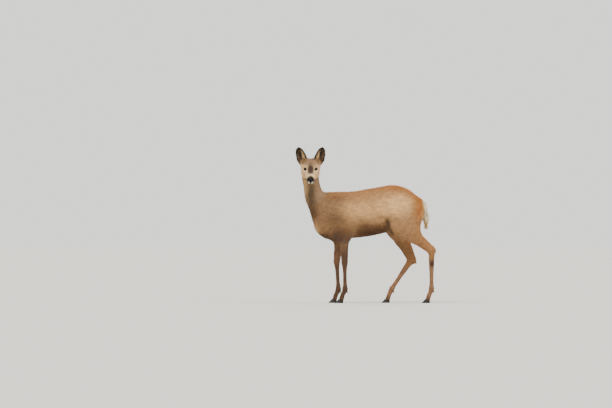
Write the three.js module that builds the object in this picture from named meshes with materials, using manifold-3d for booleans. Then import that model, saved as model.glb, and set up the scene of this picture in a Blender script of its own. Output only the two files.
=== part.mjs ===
// A life-size standing roe deer doe in winter coat, head turned to its left.
//
// Millimetres, +Z up. The trunk lies along X with the rump at +X and the chest at -X, and the
// deer's left side faces -Y. The origin is on the floor, under the middle of the bounding box.
//
// The flesh is one smooth body: oval sections strung along lines (sweeps) and muscle masses
// (lumps) that melt into each other. It is meshed region by region, and flat cuts part it into
// the named pieces. Hooves, dewclaws, eyes and ears are shapes of their own.

import * as THREE from 'three';
import { ConvexGeometry } from 'three/addons/geometries/ConvexGeometry.js';
import { mergeVertices } from 'three/addons/utils/BufferGeometryUtils.js';
import Module from 'manifold-3d';

const wasm = await Module();
wasm.setup();

// ---------------------------------------------------------------- driving sizes

const GAP = 0.3; // clearance between neighbouring pieces
const FAR = 2000; // beyond everything
const REACH = 75; // a body has no say in the shape of anything farther off than this

const EYE_RADIUS = 12.5;
const EYE_SPREAD = 29; // from the middle of the head to an eye's centre

const EAR = { length: 122, halfWidth: 38, cup: 19, thickness: 6.5, tipRoundness: 3.1 };
// Where an ear grows, how it is turned, and how far up it the cut to the skull lies.
const EAR_ROOT = { at: [37, -45, -8], lean: 20, back: 24, outward: 20.5, cut: 15 };
const EAR_SLIT = 0.46; // clearance round an ear where the skull meets it

const HOOF = { length: 52, width: 19, height: 27, splay: 5 };
const TOE_GAP = 1.2; // half the cleft between the two hooves of a foot
const DEWCLAW = { length: 17, width: 10, thickness: 9, apart: 9, behind: 14, below: 17, tilt: -24 };

// The head's own frame: the point midway between the eyes, and how the face is held.
const HEAD = { at: [-356, -51, 806], pitchDeg: 27, yawDeg: 0.3 };

const CALF_BACK = 19; // from the shin bone to the middle of the calf
const CROUP_SLOPE = { at: [270, 655], fallDeg: 36.5, roundness: 110 };

// How finely each region is meshed: cell sizes along X, Y and Z.
const CELLS = {
  trunk: [46, 30, 29],
  head: [13, 14, 13],
  foreleg: [19, 18, 22],
  hindleg: [30, 25, 31],
  tuft: [8, 9, 11],
};
// Rings along a tube of flesh, and points round each ring.
const RINGS = {
  neck: [8, 18],
  foreShank: [8, 12],
  hindShank: [10, 15],
  cannon: [7, 10],
  pastern: [6, 12],
};

// ---------------------------------------------------------------- the body's lines

// Trunk stations from the breast to the rump: height of the back and of the belly line, and
// the half width of the barrel.
const TRUNK = [
  { x: -262, back: 500, belly: 420, half: 42 },
  { x: -244, back: 590, belly: 392, half: 68 },
  { x: -205, back: 654, belly: 378, half: 84 },
  { x: -140, back: 668, belly: 384, half: 93 },
  { x: -60, back: 674, belly: 394, half: 102 },
  { x: 20, back: 689, belly: 408, half: 104 },
  { x: 95, back: 699, belly: 428, half: 98 },
  { x: 160, back: 700, belly: 452, half: 88 },
  { x: 215, back: 681, belly: 476, half: 80 },
  { x: 258, back: 636, belly: 492, half: 66 },
  { x: 288, back: 598, belly: 506, half: 48 },
];

// Neck stations from the shoulders up to the skull: centre, half size across, half size
// fore and aft, and how far the section is turned to the left with the head.
const NECK = [
  { at: [-196, 0, 545], across: 62, deep: 92, turnDeg: 0 },
  { at: [-250, 0, 560], across: 64, deep: 72, turnDeg: 8 },
  { at: [-303, 0, 596], across: 60, deep: 66, turnDeg: 25 },
  { at: [-334, 2, 642], across: 55, deep: 62, turnDeg: 50 },
  { at: [-347, 5, 696], across: 50, deep: 55, turnDeg: 75 },
  { at: [-357, 1, 748], across: 51, deep: 49, turnDeg: 88 },
  { at: [-357, -5, 790], across: 48, deep: 43, turnDeg: 90 },
];

// Girths along each bone: [share of the bone, half size across, half size fore and aft].
const FORELEG = {
  bladeTop: [26, 44],
  bladeFoot: [38, 50],
  upperArm: [[0, 36, 46], [0.5, 38, 50], [1, 30, 38]],
  forearm: [[0, 25, 31], [0.35, 21.5, 27.5], [0.75, 17.5, 22.5], [0.94, 17, 20]],
  knee: [18, 20.5],
  cannon: [[0.12, 14.5, 15.5], [0.4, 11.5, 12], [0.75, 11.5, 12]],
  fetlock: [15.5, 17],
  pastern: [13.5, 13.5],
};
const HINDLEG = {
  quad: [[0, 34, 62], [0.6, 36, 56], [1, 30, 42]],
  gaskin: [[0, 33, 46], [0.3, 28, 38], [0.65, 19, 25], [0.95, 16, 19]],
  hock: [17.5, 21],
  cannon: [[0.14, 14.5, 18], [0.35, 13.5, 17], [0.6, 11.5, 13], [0.85, 12, 12.5]],
  fetlock: [15.5, 17],
  pastern: [13.5, 13.5],
};

// Where each leg's joints are. The left legs (-Y) stand under the shoulder and stretched
// back; the right foreleg is a little ahead, and the right hind foot well under the belly.
const LEGS = {
  front_left: {
    side: -1, blade: [-205, 48, 606], shoulder: [-262, 60, 458], elbow: [-156, 62, 396],
    knee: [-152, 58, 246], fetlock: [-149, 55, 82], toe: [-179, 54],
  },
  front_right: {
    side: 1, blade: [-208, 48, 606], shoulder: [-266, 60, 456], elbow: [-184, 62, 394],
    knee: [-199, 57, 250], fetlock: [-189, 54, 82], toe: [-219, 53],
  },
  hind_left: {
    side: -1, hip: [232, 46, 566], stifle: [186, 64, 444], hock: [369, 56, 312],
    heel: [387, 56, 323], calf: [315, 59, 357], buttock: [282, 50, 548], fetlock: [369, 52, 84],
    toe: [340, 51],
  },
  hind_right: {
    side: 1, hip: [226, 46, 562], stifle: [148, 62, 438], hock: [247, 54, 258],
    heel: [279, 54, 250], calf: [218, 56, 320], buttock: [280, 50, 544], fetlock: [130, 52, 82],
    toe: [100, 51],
  },
};

// ---------------------------------------------------------------- distance fields

const v = (x, y, z) => new THREE.Vector3(x, y, z);
const mix = THREE.MathUtils.lerp;
const rad = THREE.MathUtils.degToRad;

/** Signed distance to an oval of half sizes a and b, for a point p and q off its centre. */
function ovalDistance(p, q, a, b) {
  const k0 = Math.hypot(p / a, q / b);
  const k1 = Math.hypot(p / (a * a), q / (b * b));
  return k1 < 1e-9 ? -Math.min(a, b) : (k0 * (k0 - 1)) / k1;
}

/** Two distances joined over a fillet about r wide. */
function melt(a, b, r) {
  const h = Math.max(r - Math.abs(a - b), 0) / r;
  return Math.min(a, b) - (h * h * r) / 4;
}

/** Distance a with b carved out of it over a rounded rim about r wide. */
const carve = (a, b, r) => -melt(-a, b, r);

/**
 * A sweep: ovals along a smooth line through stations {at, across, deep, turnDeg}.
 * `across` is the half size along Y (turned by turnDeg about Z), `deep` at right angles.
 */
function sweep(stations, fine = 4) {
  const line = new THREE.CatmullRomCurve3(stations.map((s) => v(...s.at)), false, 'centripetal');
  const count = (stations.length - 1) * fine;
  const knots = [];
  for (let i = 0; i <= count; i++) {
    const t = i / fine;
    const a = stations[Math.min(Math.floor(t), stations.length - 1)];
    const b = stations[Math.min(Math.floor(t) + 1, stations.length - 1)];
    const f = THREE.MathUtils.smoothstep(t - Math.floor(t), 0, 1) * 0.4 + (t - Math.floor(t)) * 0.6;
    const turn = rad(mix(a.turnDeg ?? 0, b.turnDeg ?? 0, f));
    knots.push({
      at: line.getPoint(i / count),
      across: mix(a.across, b.across, f),
      deep: mix(a.deep, b.deep, f),
      side: v(Math.sin(turn), Math.cos(turn), 0),
    });
  }
  const reach = new THREE.Box3().setFromPoints(knots.map((k) => k.at));
  reach.expandByScalar(Math.max(...knots.map((k) => Math.max(k.across, k.deep))));
  return (p) => {
    const off = reach.distanceToPoint(p);
    if (off > REACH) return off;
    let best = Infinity;
    for (let i = 0; i < count; i++) {
      const a = knots[i];
      const b = knots[i + 1];
      const dx = b.at.x - a.at.x;
      const dy = b.at.y - a.at.y;
      const dz = b.at.z - a.at.z;
      const px = p.x - a.at.x;
      const py = p.y - a.at.y;
      const pz = p.z - a.at.z;
      const t = Math.min(1, Math.max(0, (px * dx + py * dy + pz * dz) / (dx * dx + dy * dy + dz * dz)));
      const ox = px - t * dx;
      const oy = py - t * dy;
      const oz = pz - t * dz;
      const sx = mix(a.side.x, b.side.x, t);
      const sy = mix(a.side.y, b.side.y, t);
      const across = ox * sx + oy * sy;
      const rest = Math.sqrt(Math.max(0, ox * ox + oy * oy + oz * oz - across * across));
      best = Math.min(best, ovalDistance(across, rest, mix(a.across, b.across, t), mix(a.deep, b.deep, t)));
    }
    return best;
  };
}

/** A lump: an ellipsoid of half sizes r at c, tilted about Y by tiltDeg (nose down is plus). */
function lump(c, r, tiltDeg = 0) {
  const [cs, sn] = [Math.cos(rad(tiltDeg)), Math.sin(rad(tiltDeg))];
  return (p) => {
    const [x, y, z] = [p.x - c[0], p.y - c[1], p.z - c[2]];
    const [a, b, d] = [x * cs - z * sn, y, x * sn + z * cs];
    const k0 = Math.hypot(a / r[0], b / r[1], d / r[2]);
    const k1 = Math.hypot(a / r[0] ** 2, b / r[1] ** 2, d / r[2] ** 2);
    return k1 < 1e-9 ? -Math.min(...r) : (k0 * (k0 - 1)) / k1;
  };
}

/** Melts a list of [field, fillet] one after another. */
function meltAll(list) {
  return (p) => {
    let d = Infinity;
    for (const [field, r] of list) {
      const e = field(p);
      d = d === Infinity ? e : melt(d, e, r);
    }
    return d;
  };
}

/** Stations along the bone from a to b, from its girth rows. */
const along = (a, b, girths) =>
  girths.map(([t, across, deep]) => ({ at: a.map((c, i) => mix(c, b[i], t)), across, deep }));

const station = (at, [across, deep]) => ({ at, across, deep });

// ---------------------------------------------------------------- trunk and neck

const trunkSweep = sweep(
  TRUNK.map(({ x, back, belly, half }) => ({
    at: [x, 0, (back + belly) / 2], across: half, deep: (back - belly) / 2,
  })),
);
const neckSweep = sweep(NECK);

/** How far a point stands out over the round-backed slope that the croup falls away along. */
const overCroup = ({ x, y, z }) => {
  const { at, fallDeg, roundness } = CROUP_SLOPE;
  const out = (x - at[0]) * Math.sin(rad(fallDeg)) + (z - at[1]) * Math.cos(rad(fallDeg));
  return out + y ** 2 / (2 * roundness);
};

const barrel = meltAll([
  [trunkSweep, 1],
  [neckSweep, 55],
  [lump([-267, 0, 434], [34, 40, 42], -25), 22], // breast
  [lump([-225, 0, 624], [62, 34, 40], -6), 30], // withers
  [lump([150, 0, 650], [95, 62, 44], 4), 36], // croup
  [lump([150, 0, 470], [44, 62, 42], -30), 40], // groin
]);
const rumpPatch = lump([297, 0, 570], [42, 48, 52], 30);
const torso = (p) => melt(carve(barrel(p), -overCroup(p), 14), rumpPatch(p), 16);

// ---------------------------------------------------------------- legs

/** Mirrors a joint written with its distance from the middle plane to the leg's own side. */
const onSide = (side) => ([x, y, z]) => [x, side * y, z];

/** The lower leg from the cannon down to the coronet, the same for all legs. */
function lowerLeg(form, top, fetlock, toe, side) {
  return [
    [sweep([...along(top, fetlock, form.cannon), station(fetlock, form.fetlock)]), 14],
    [sweep([
      station([fetlock[0] + 1, fetlock[1], fetlock[2] - 4], form.pastern),
      station([mix(fetlock[0], toe[0], 0.5), toe[1] * side, 48], [16.5, 13.5]),
      station([toe[0] + 6, toe[1] * side, 14], [21, 14]),
    ]), 10],
  ];
}

function foreleg(name) {
  const leg = LEGS[name];
  const at = onSide(leg.side);
  const [blade, shoulder, elbow, knee, fetlock] = ['blade', 'shoulder', 'elbow', 'knee', 'fetlock'].map(
    (joint) => at(leg[joint]),
  );
  return {
    muscle: meltAll([
      [sweep([station(blade, FORELEG.bladeTop), station(shoulder, FORELEG.bladeFoot)]), 1],
      [sweep(along(shoulder, elbow, FORELEG.upperArm)), 30],
      [lump([elbow[0] + 26, elbow[1], elbow[2] + 8], [22, 17, 20], -30), 22], // point of the elbow
    ]),
    shaft: meltAll([
      [sweep([...along(elbow, knee, FORELEG.forearm), station(knee, FORELEG.knee)]), 1],
      ...lowerLeg(FORELEG, knee, fetlock, leg.toe, leg.side),
    ]),
    joint: 26,
  };
}

function hindleg(name) {
  const leg = LEGS[name];
  const at = onSide(leg.side);
  const [hip, stifle, hock, heel, buttock, fetlock] = [
    'hip', 'stifle', 'hock', 'heel', 'buttock', 'fetlock',
  ].map((joint) => at(leg[joint]));
  const calf = stifle.map((c, i) => mix(c, hock[i], 0.34));
  return {
    muscle: meltAll([
      [sweep(along(hip, stifle, HINDLEG.quad)), 1],
      [sweep([
        station(buttock, [34, 44]),
        station(buttock.map((c, i) => mix(c, calf[i], 0.5)), [32, 41]),
        station([calf[0] + 26, calf[1], calf[2] + 22], [22, 30]),
      ]), 44],
    ]),
    shaft: meltAll([
      [sweep([...along(stifle, hock, HINDLEG.gaskin), station(hock, HINDLEG.hock)]), 1],
      // the sinew from the calf to the heel bone, and the heel bone to the hock
      [sweep([station([calf[0] + 40, calf[1], calf[2] + 4], [15, 20]), station(heel, [8.5, 11])]), 24],
      [sweep([station(heel, [10, 11]), station(hock, [15, 18])]), 16],
      ...lowerLeg(HINDLEG, hock, fetlock, leg.toe, leg.side),
    ]),
    joint: 40,
  };
}

const legs = {
  front_left: foreleg('front_left'),
  front_right: foreleg('front_right'),
  hind_left: hindleg('hind_left'),
  hind_right: hindleg('hind_right'),
};

// ---------------------------------------------------------------- head

// Local axes: x to the deer's right, y along the muzzle, z up from the face.
const headFrame = new THREE.Matrix4()
  .makeRotationFromEuler(new THREE.Euler(rad(HEAD.pitchDeg), 0, rad(HEAD.yawDeg), 'ZXY'))
  .multiply(new THREE.Matrix4().makeRotationZ(Math.PI))
  .setPosition(...HEAD.at);
const intoHead = headFrame.clone().invert();
const inHead = (field) => {
  const q = v(0, 0, 0);
  return (p) => field(q.copy(p).applyMatrix4(intoHead));
};
const headPoint = (x, y, z) => v(x, y, z).applyMatrix4(headFrame);

/** A piece on both sides of the head: the field sees |x|. */
const bothSides = (field) => {
  const q = v(0, 0, 0);
  return (p) => field(q.set(Math.abs(p.x), p.y, p.z));
};

/** A head lump: centre, half sizes, and tilt in the plane of the profile (muzzle down is plus). */
function headLump([x, y, z], [a, b, c], tiltDeg = 0) {
  const turned = lump([y, x, z], [b, a, c], tiltDeg);
  const q = v(0, 0, 0);
  return (p) => turned(q.set(p.y, p.x, p.z));
}

/** A head sweep: stations [x, y, z, half size across, half size up and down]. */
function headSweep(rows) {
  // Inside the sweep the head's own x is `across`, so the axes are exchanged.
  const body = sweep(rows.map(([x, y, z, across, deep]) => ({ at: [y, x, z], across, deep })));
  const q = v(0, 0, 0);
  return (p) => body(q.set(p.y, p.x, p.z));
}

// Rows of a head sweep: the muscle under an ear, and the lower jaw.
const EAR_MUSCLE = [[24, -43, -14, 24, 24], [37, -45, -6, 21, 20], [42, -50, 8, 18, 18]];
const JAW = [[0, -30, -50, 20, 15], [0, 20, -52, 18, 13], [0, 60, -53, 15, 10], [0, 86, -51, 13, 8.5]];

const muzzle = headSweep([
  [0, -34, -6, 38, 44],
  [0, -8, -8, 35, 41],
  [0, 20, -13, 29, 35],
  [0, 48, -21, 26.5, 30],
  [0, 74, -28, 26, 26],
  [0, 91, -31, 24.5, 21],
]);
const face = meltAll([
  [muzzle, 1],
  [headLump([0, -32, 2], [42, 48, 33]), 22], // skull
  [headLump([0, -8, 14], [30, 36, 21], 22), 16], // forehead
  [bothSides(headLump([31, -12, 6], [14, 24, 15])), 12], // brow and cheek bone
  [bothSides(headLump([27, -22, -34], [25, 38, 32], 10)), 20], // cheek
  [headSweep(JAW), 14],
  [bothSides(headSweep(EAR_MUSCLE)), 18],
]);

const eyeCentre = (side) => v(side * EYE_SPREAD, 5, 3);
const eyeSockets = bothSides(headLump([EYE_SPREAD + 9, 15, 3], [14, 13, 10]));
const head = inHead((p) => carve(face(p), eyeSockets(p), 5));

// ---------------------------------------------------------------- the whole body as one field

const flesh = (p) => {
  let d = melt(torso(p), head(p), 26);
  for (const { muscle, shaft, joint } of Object.values(legs)) {
    d = melt(d, muscle(p), joint);
    d = melt(d, shaft(p), joint * 0.6);
  }
  return d;
};

// ---------------------------------------------------------------- meshing and cutting

const TETRAHEDRON = [[1, -1, -1], [-1, -1, 1], [-1, 1, -1], [1, 1, 1]];
const SLOPE_STEP = 0.4;

/** Slope of a field at p, as a unit vector: differences to the corners of a small tetrahedron. */
function slope(field, p, out) {
  const q = v(0, 0, 0);
  out.set(0, 0, 0);
  for (const [x, y, z] of TETRAHEDRON) {
    const d = field(q.set(p.x + x * SLOPE_STEP, p.y + y * SLOPE_STEP, p.z + z * SLOPE_STEP));
    out.set(out.x + d * x, out.y + d * y, out.z + d * z);
  }
  return out.normalize();
}

/**
 * Meshes the zero surface of a field inside a box by surface nets: one vertex in each cell that
 * the surface crosses, one face round each grid edge that it crosses. Then the vertices are
 * evened out and drawn back onto the surface. The box's own walls close the mesh. `cells` holds
 * the cell's size along X, Y and Z.
 */
function netSurface(field, low, high, cells) {
  const cell = v(...cells);
  const middle = low.clone().add(high).multiplyScalar(0.5);
  const half = high.clone().sub(low).multiplyScalar(0.5);
  const boxed = (p) =>
    Math.max(
      field(p),
      Math.abs(p.x - middle.x) - half.x,
      Math.abs(p.y - middle.y) - half.y,
      Math.abs(p.z - middle.z) - half.z,
    );
  const size = cells.map((c, i) => Math.ceil((2 * half.getComponent(i)) / c) + 4);
  const start = low.clone().addScaledVector(cell, -1.5);
  const index = (i, j, k) => i + size[0] * (j + size[1] * k);
  const value = new Float64Array(size[0] * size[1] * size[2]);
  const p = v(0, 0, 0);
  for (let k = 0; k < size[2]; k++)
    for (let j = 0; j < size[1]; j++)
      for (let i = 0; i < size[0]; i++)
        value[index(i, j, k)] = boxed(p.set(i, j, k).multiply(cell).add(start));

  const vertexOf = new Map();
  const points = [];
  const cellVertex = (i, j, k) => {
    const key = index(i, j, k);
    if (vertexOf.has(key)) return vertexOf.get(key);
    const sum = v(0, 0, 0);
    let n = 0;
    for (let axis = 0; axis < 3; axis++)
      for (const [s, t] of [[0, 0], [0, 1], [1, 0], [1, 1]]) {
        const a = [i, j, k];
        a[(axis + 1) % 3] += s;
        a[(axis + 2) % 3] += t;
        const b = [...a];
        b[axis] += 1;
        const [fa, fb] = [value[index(...a)], value[index(...b)]];
        if ((fa < 0) === (fb < 0)) continue;
        const at = [...a];
        at[axis] += fa / (fa - fb);
        sum.add(v(...at));
        n++;
      }
    points.push(sum.divideScalar(n).multiply(cell).add(start));
    vertexOf.set(key, points.length - 1);
    return points.length - 1;
  };

  const quads = [];
  for (let k = 1; k < size[2] - 1; k++)
    for (let j = 1; j < size[1] - 1; j++)
      for (let i = 1; i < size[0] - 1; i++)
        for (let axis = 0; axis < 3; axis++) {
          const next = [i, j, k];
          next[axis] += 1;
          const [fa, fb] = [value[index(i, j, k)], value[index(...next)]];
          if ((fa < 0) === (fb < 0)) continue;
          const [b, c] = [(axis + 1) % 3, (axis + 2) % 3];
          const round = [[0, 0], [-1, 0], [-1, -1], [0, -1]].map(([s, t]) => {
            const at = [i, j, k];
            at[b] += s;
            at[c] += t;
            return cellVertex(...at);
          });
          quads.push(fa < 0 ? round : round.reverse());
        }

  relax(points, quads, field, boxed, Math.min(...cells));
  const triangles = quads.flatMap(([a, b, c, d]) =>
    points[a].distanceTo(points[c]) < points[b].distanceTo(points[d])
      ? [a, b, c, a, c, d]
      : [a, b, d, b, c, d],
  );
  return solid(points, triangles);
}

/** Evens out a net's vertices: each goes halfway to its neighbours' mean and back to the surface. */
function relax(points, quads, field, boxed, cell, rounds = 6) {
  const normal = v(0, 0, 0);
  const neighbours = points.map(() => new Set());
  for (const quad of quads)
    quad.forEach((a, i) => {
      neighbours[a].add(quad[(i + 1) % 4]);
      neighbours[a].add(quad[(i + 3) % 4]);
    });
  for (let round = 0; round < rounds; round++) {
    const means = neighbours.map((set) => {
      const mean = v(0, 0, 0);
      set.forEach((b) => mean.add(points[b]));
      return mean.divideScalar(set.size);
    });
    points.forEach((p, i) => {
      if (field(p) < -0.5 * cell) return; // on a wall of the box
      p.lerp(means[i], 0.5);
      for (let pull = 0; pull < (round < rounds - 1 ? 1 : 3); pull++) {
        const d = boxed(p);
        p.addScaledVector(slope(boxed, p, normal), -THREE.MathUtils.clamp(d, -cell / 2, cell / 2));
      }
    });
  }
}

/** Where a ray from inside leaves the flesh. */
function surfaceAlong(from, direction) {
  const at = (far) => from.clone().addScaledVector(direction, far);
  let near = 0;
  let far = 0;
  while (far < 200 && flesh(at(far)) < 0) {
    near = far;
    far += 4;
  }
  for (let halving = 0; halving < 12; halving++) {
    const middle = (near + far) / 2;
    if (flesh(at(middle)) < 0) near = middle;
    else far = middle;
  }
  return at(near);
}

/**
 * A tube of flesh between two planes: rings of points round a line of centres, each ring in a
 * plane of its own that turns from the first plane to the last.
 */
function tube(first, last, centres, ringCount, sides) {
  const line = new THREE.CurvePath();
  const stops = [first.point, ...centres.map((c) => v(...c)), last.point];
  stops[0] = first.point.clone().addScaledVector(first.normal, GAP / 2);
  stops[stops.length - 1] = last.point.clone().addScaledVector(last.normal, -GAP / 2);
  for (let i = 1; i < stops.length; i++) line.add(new THREE.LineCurve3(stops[i - 1], stops[i]));
  const points = [];
  const triangles = [];
  for (let ring = 0; ring < ringCount; ring++) {
    const share = ring / (ringCount - 1);
    const normal = first.normal.clone().lerp(last.normal, share).normalize();
    const ahead = v(0, 1, 0).cross(normal).normalize();
    const aside = normal.clone().cross(ahead);
    const centre = line.getPointAt(share);
    for (let i = 0; i < sides; i++) {
      const turn = (2 * Math.PI * i) / sides;
      const ray = ahead.clone().multiplyScalar(Math.cos(turn)).addScaledVector(aside, Math.sin(turn));
      points.push(surfaceAlong(centre, ray));
      if (ring === 0) continue;
      const [a, b] = [(ring - 1) * sides + i, (ring - 1) * sides + ((i + 1) % sides)];
      triangles.push(a, b, b + sides, a, b + sides, a + sides);
    }
  }
  const [bottom, top] = [points.length, points.length + 1];
  points.push(line.getPointAt(0), line.getPointAt(1));
  for (let i = 0; i < sides; i++) {
    const next = (i + 1) % sides;
    triangles.push(bottom, next, i);
    triangles.push(top, (ringCount - 1) * sides + i, (ringCount - 1) * sides + next);
  }
  return solid(points, triangles);
}

/** A manifold solid from points and triangles. */
function solid(points, triangles) {
  return new wasm.Manifold(
    new wasm.Mesh({
      numProp: 3,
      vertProperties: new Float32Array(points.flatMap((p) => [p.x, p.y, p.z])),
      triVerts: new Uint32Array(triangles),
    }),
  );
}

/** A manifold solid from a closed three.js geometry. */
function solidOf(geometry) {
  const bare = geometry.index ? geometry.toNonIndexed() : geometry.clone();
  bare.deleteAttribute('normal');
  bare.deleteAttribute('uv');
  const merged = mergeVertices(bare, 1e-3);
  return new wasm.Manifold(
    new wasm.Mesh({
      numProp: 3,
      vertProperties: merged.attributes.position.array,
      triVerts: new Uint32Array(merged.index.array),
    }),
  );
}

/** Everything on the far side of a plane from its normal, as a large block. */
function behind(point, normal) {
  const block = new THREE.BoxGeometry(FAR, FAR, FAR).translate(0, 0, -FAR / 2);
  block.applyQuaternion(new THREE.Quaternion().setFromUnitVectors(v(0, 0, 1), normal.clone().normalize()));
  return solidOf(block.translate(point.x, point.y, point.z));
}

/** A plane across a bone, `share` of the way from joint a to joint b, facing b. */
function across(a, b, share) {
  const [from, to] = [v(...a), v(...b)];
  return { point: from.clone().lerp(to, share), normal: to.clone().sub(from).normalize() };
}

/**
 * A prism from a profile of [x, z] corners between two depths. `lift` raises the outer side of
 * its upper corners, above the level `liftedAbove`.
 */
function prism(profile, yInner, yOuter, lift = 0, liftedAbove = 0) {
  return solidOf(
    new ConvexGeometry(
      profile.flatMap(([x, z]) => [v(x, yInner, z), v(x, yOuter, z + (z > liftedAbove ? lift : 0))]),
    ),
  );
}

/** Keeps the part of a solid in front of each plane, less half a gap. */
const inFrontOf = (body, ...planes) =>
  planes.reduce(
    (s, { point, normal }) => s.subtract(behind(point.clone().addScaledVector(normal, GAP / 2), normal)),
    body,
  );

const reversed = ({ point, normal }) => ({ point, normal: normal.clone().negate() });

const setBack = ({ point, normal }) => ({ point: point.clone().addScaledVector(normal, -GAP), normal });

/** The biggest of the separate bodies of a solid, so that no crumb is left beside it. */
const main = (s) => s.decompose().reduce((a, b) => (a.volume() > b.volume() ? a : b));

/** The sizes of a convex shape grown by the gap on every side. */
const grown = (sizes) => sizes.map((size) => size + 2 * GAP);

/** The triangles without edges shorter than `least`, each closed up where the surface stays whole. */
function withoutCrumbs(points, triVerts, least = 0.1) {
  const faces = [];
  const facesOf = points.map(() => new Set());
  for (let i = 0; i < triVerts.length; i += 3) {
    const face = [...triVerts.subarray(i, i + 3)];
    face.forEach((a) => facesOf[a].add(face));
    faces.push(face);
  }
  const round = (a) => new Set([...facesOf[a]].flat().filter((b) => b !== a));
  let closed = true;
  while (closed) {
    closed = false;
    for (const face of faces) {
      for (const [a, b] of [[face[0], face[1]], [face[1], face[2]], [face[2], face[0]]]) {
        if (a === undefined || a === b || points[a].distanceTo(points[b]) > least) continue;
        const near = round(a);
        if ([...round(b)].filter((c) => near.has(c)).length !== 2) continue;
        for (const other of [...facesOf[b]]) {
          facesOf[b].delete(other);
          if (other.includes(a)) {
            other.forEach((c) => facesOf[c].delete(other));
            other.length = 0;
          } else {
            other[other.indexOf(b)] = a;
            facesOf[a].add(other);
          }
        }
        closed = true;
        break;
      }
    }
  }
  return faces.flat();
}

// ---------------------------------------------------------------- small shapes of their own

/** A cloven half: pointed at the toe, flat on the inner side and underneath, leaning back. */
function hoofGeometry(inner) {
  const { length: l, width: w, height: h } = HOOF;
  const sole = new THREE.Shape();
  sole.moveTo(-0.62 * l, inner * 0.3 * w);
  sole.quadraticCurveTo(-0.3 * l, inner * 0.52 * w, 0.1 * l, inner * 0.5 * w);
  sole.quadraticCurveTo(0.38 * l, inner * 0.46 * w, 0.38 * l, 0);
  sole.quadraticCurveTo(0.38 * l, -inner * 0.5 * w, 0.08 * l, -inner * 0.5 * w);
  sole.quadraticCurveTo(-0.42 * l, -inner * 0.44 * w, -0.62 * l, inner * 0.3 * w);
  const block = new THREE.ExtrudeGeometry(sole, {
    depth: h, steps: 1, bevelEnabled: false, curveSegments: 3,
  });
  const p = block.attributes.position;
  for (let i = 0; i < p.count; i++) {
    const up = p.getZ(i) / h;
    p.setX(i, mix(p.getX(i), 0.55 * p.getX(i) + 0.2 * l, up ** 1.1));
    p.setY(i, p.getY(i) * (1 - 0.14 * up));
  }
  return block;
}

/** A dewclaw: a blunt cone lying against the back of the fetlock. */
function dewclawGeometry([length, width, thickness]) {
  const drop = new THREE.SphereGeometry(0.5, 7, 4).rotateX(Math.PI / 2);
  const p = drop.attributes.position;
  for (let i = 0; i < p.count; i++) {
    const narrow = 1 - 0.55 * (0.5 - p.getZ(i)) ** 2;
    p.setXYZ(i, p.getX(i) * thickness * narrow, p.getY(i) * width * narrow, p.getZ(i) * length);
  }
  return drop;
}

/** An ear: a flattened ball bent to a cup, opening along -Y, with its length along +Z. */
function earGeometry() {
  const { length, halfWidth, cup, thickness, tipRoundness } = EAR;
  const ball = new THREE.SphereGeometry(1, 14, 12).rotateX(Math.PI / 2);
  const p = ball.attributes.position;
  for (let i = 0; i < p.count; i++) {
    const up = (p.getZ(i) + 1) / 2;
    const round = Math.max(Math.hypot(p.getX(i), p.getY(i)), 1e-6);
    const [c, s] = [p.getX(i) / round, p.getY(i) / round];
    const ends = Math.min(1, round * 1.5);
    const leaf = halfWidth * Math.min(1, 0.62 + 1.1 * up) * Math.sqrt(Math.max(0, 1 - up ** tipRoundness));
    const across = leaf * Math.min(1, ends * 1.2) * c;
    const cupped = cup * (1.25 - 0.7 * up) * (1 - c * c * 0.98) * ends;
    const wall = (thickness / 2) * s * ends * (1.1 - 0.35 * up);
    p.setXYZ(i, across, cupped + wall + 10 * up * up, up * length);
  }
  return ball;
}

// ---------------------------------------------------------------- the pieces

const colours = {
  coat: 0x9c7a58, neck: 0x857058, face: 0xb79a78, ear: 0x5e4a3a, nose: 0x1c1a1a,
  eye: 0x14100e, leg: 0x8c6848, hoof: 0x262220, white: 0xe9dfc8,
};
const deer = new THREE.Group();

/** Adds the main body of a solid to the deer as a named mesh. */
function add(name, body, colour, roughness = 0.85) {
  const { numProp, numVert, vertProperties, triVerts } = main(body).getMesh();
  const points = Array.from({ length: numVert }, (_, i) =>
    v(0, 0, 0).fromArray(vertProperties, i * numProp),
  );
  const geometry = new THREE.BufferGeometry()
    .setFromPoints(points)
    .setIndex(withoutCrumbs(points, triVerts));
  geometry.computeVertexNormals();
  const mesh = new THREE.Mesh(
    geometry,
    new THREE.MeshStandardMaterial({ color: colours[colour], roughness, metalness: 0 }),
  );
  mesh.name = name;
  deer.add(mesh);
}

const net = (low, high, cell) => netSurface(flesh, v(...low), v(...high), cell);

/** A cutting plane in the head's frame. */
const headPlane = (at, normal) => ({
  point: headPoint(...at),
  normal: headPoint(...normal).sub(headPoint(0, 0, 0)),
});

// Cutting planes of the neck and head.
const neckRoot = { point: v(-304, 0, 592), normal: v(-0.878, 0, 0.479) };
const nape = { point: v(-355, -8, 770), normal: v(0, -0.65, 0.76) };
const noseBack = headPlane([0, 97, -16], [0, 1, 0.35]);
const mouthLine = headPlane([0, 92, -43], [0, 0.1, -1]);
const jawHinge = headPlane([0, 8, -40], [0, 1, 0]);

// The blocks of space that belong to each leg, as profiles of [x, z] corners.
const LEG_OUTSIDE = 190;
const legSpace = {
  front_left: prism(
    [[-252, 352], [-226, 408], [-112, 408], [-92, 372], [-92, -40], [-252, -40]],
    -7, -LEG_OUTSIDE, 46,
  ),
  front_right: prism(
    [[-290, 352], [-262, 408], [-150, 408], [-118, 372], [-118, -40], [-290, -40]],
    7, LEG_OUTSIDE, 46,
  ),
  hind_left: prism(
    [[96, 482], [226, 612], [318, 560], [430, 380], [430, -40], [96, -40]],
    0, -LEG_OUTSIDE,
  ),
  hind_right: prism([[64, 462], [222, 606], [318, 556], [320, -40], [30, -40]], 0, LEG_OUTSIDE),
};

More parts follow.
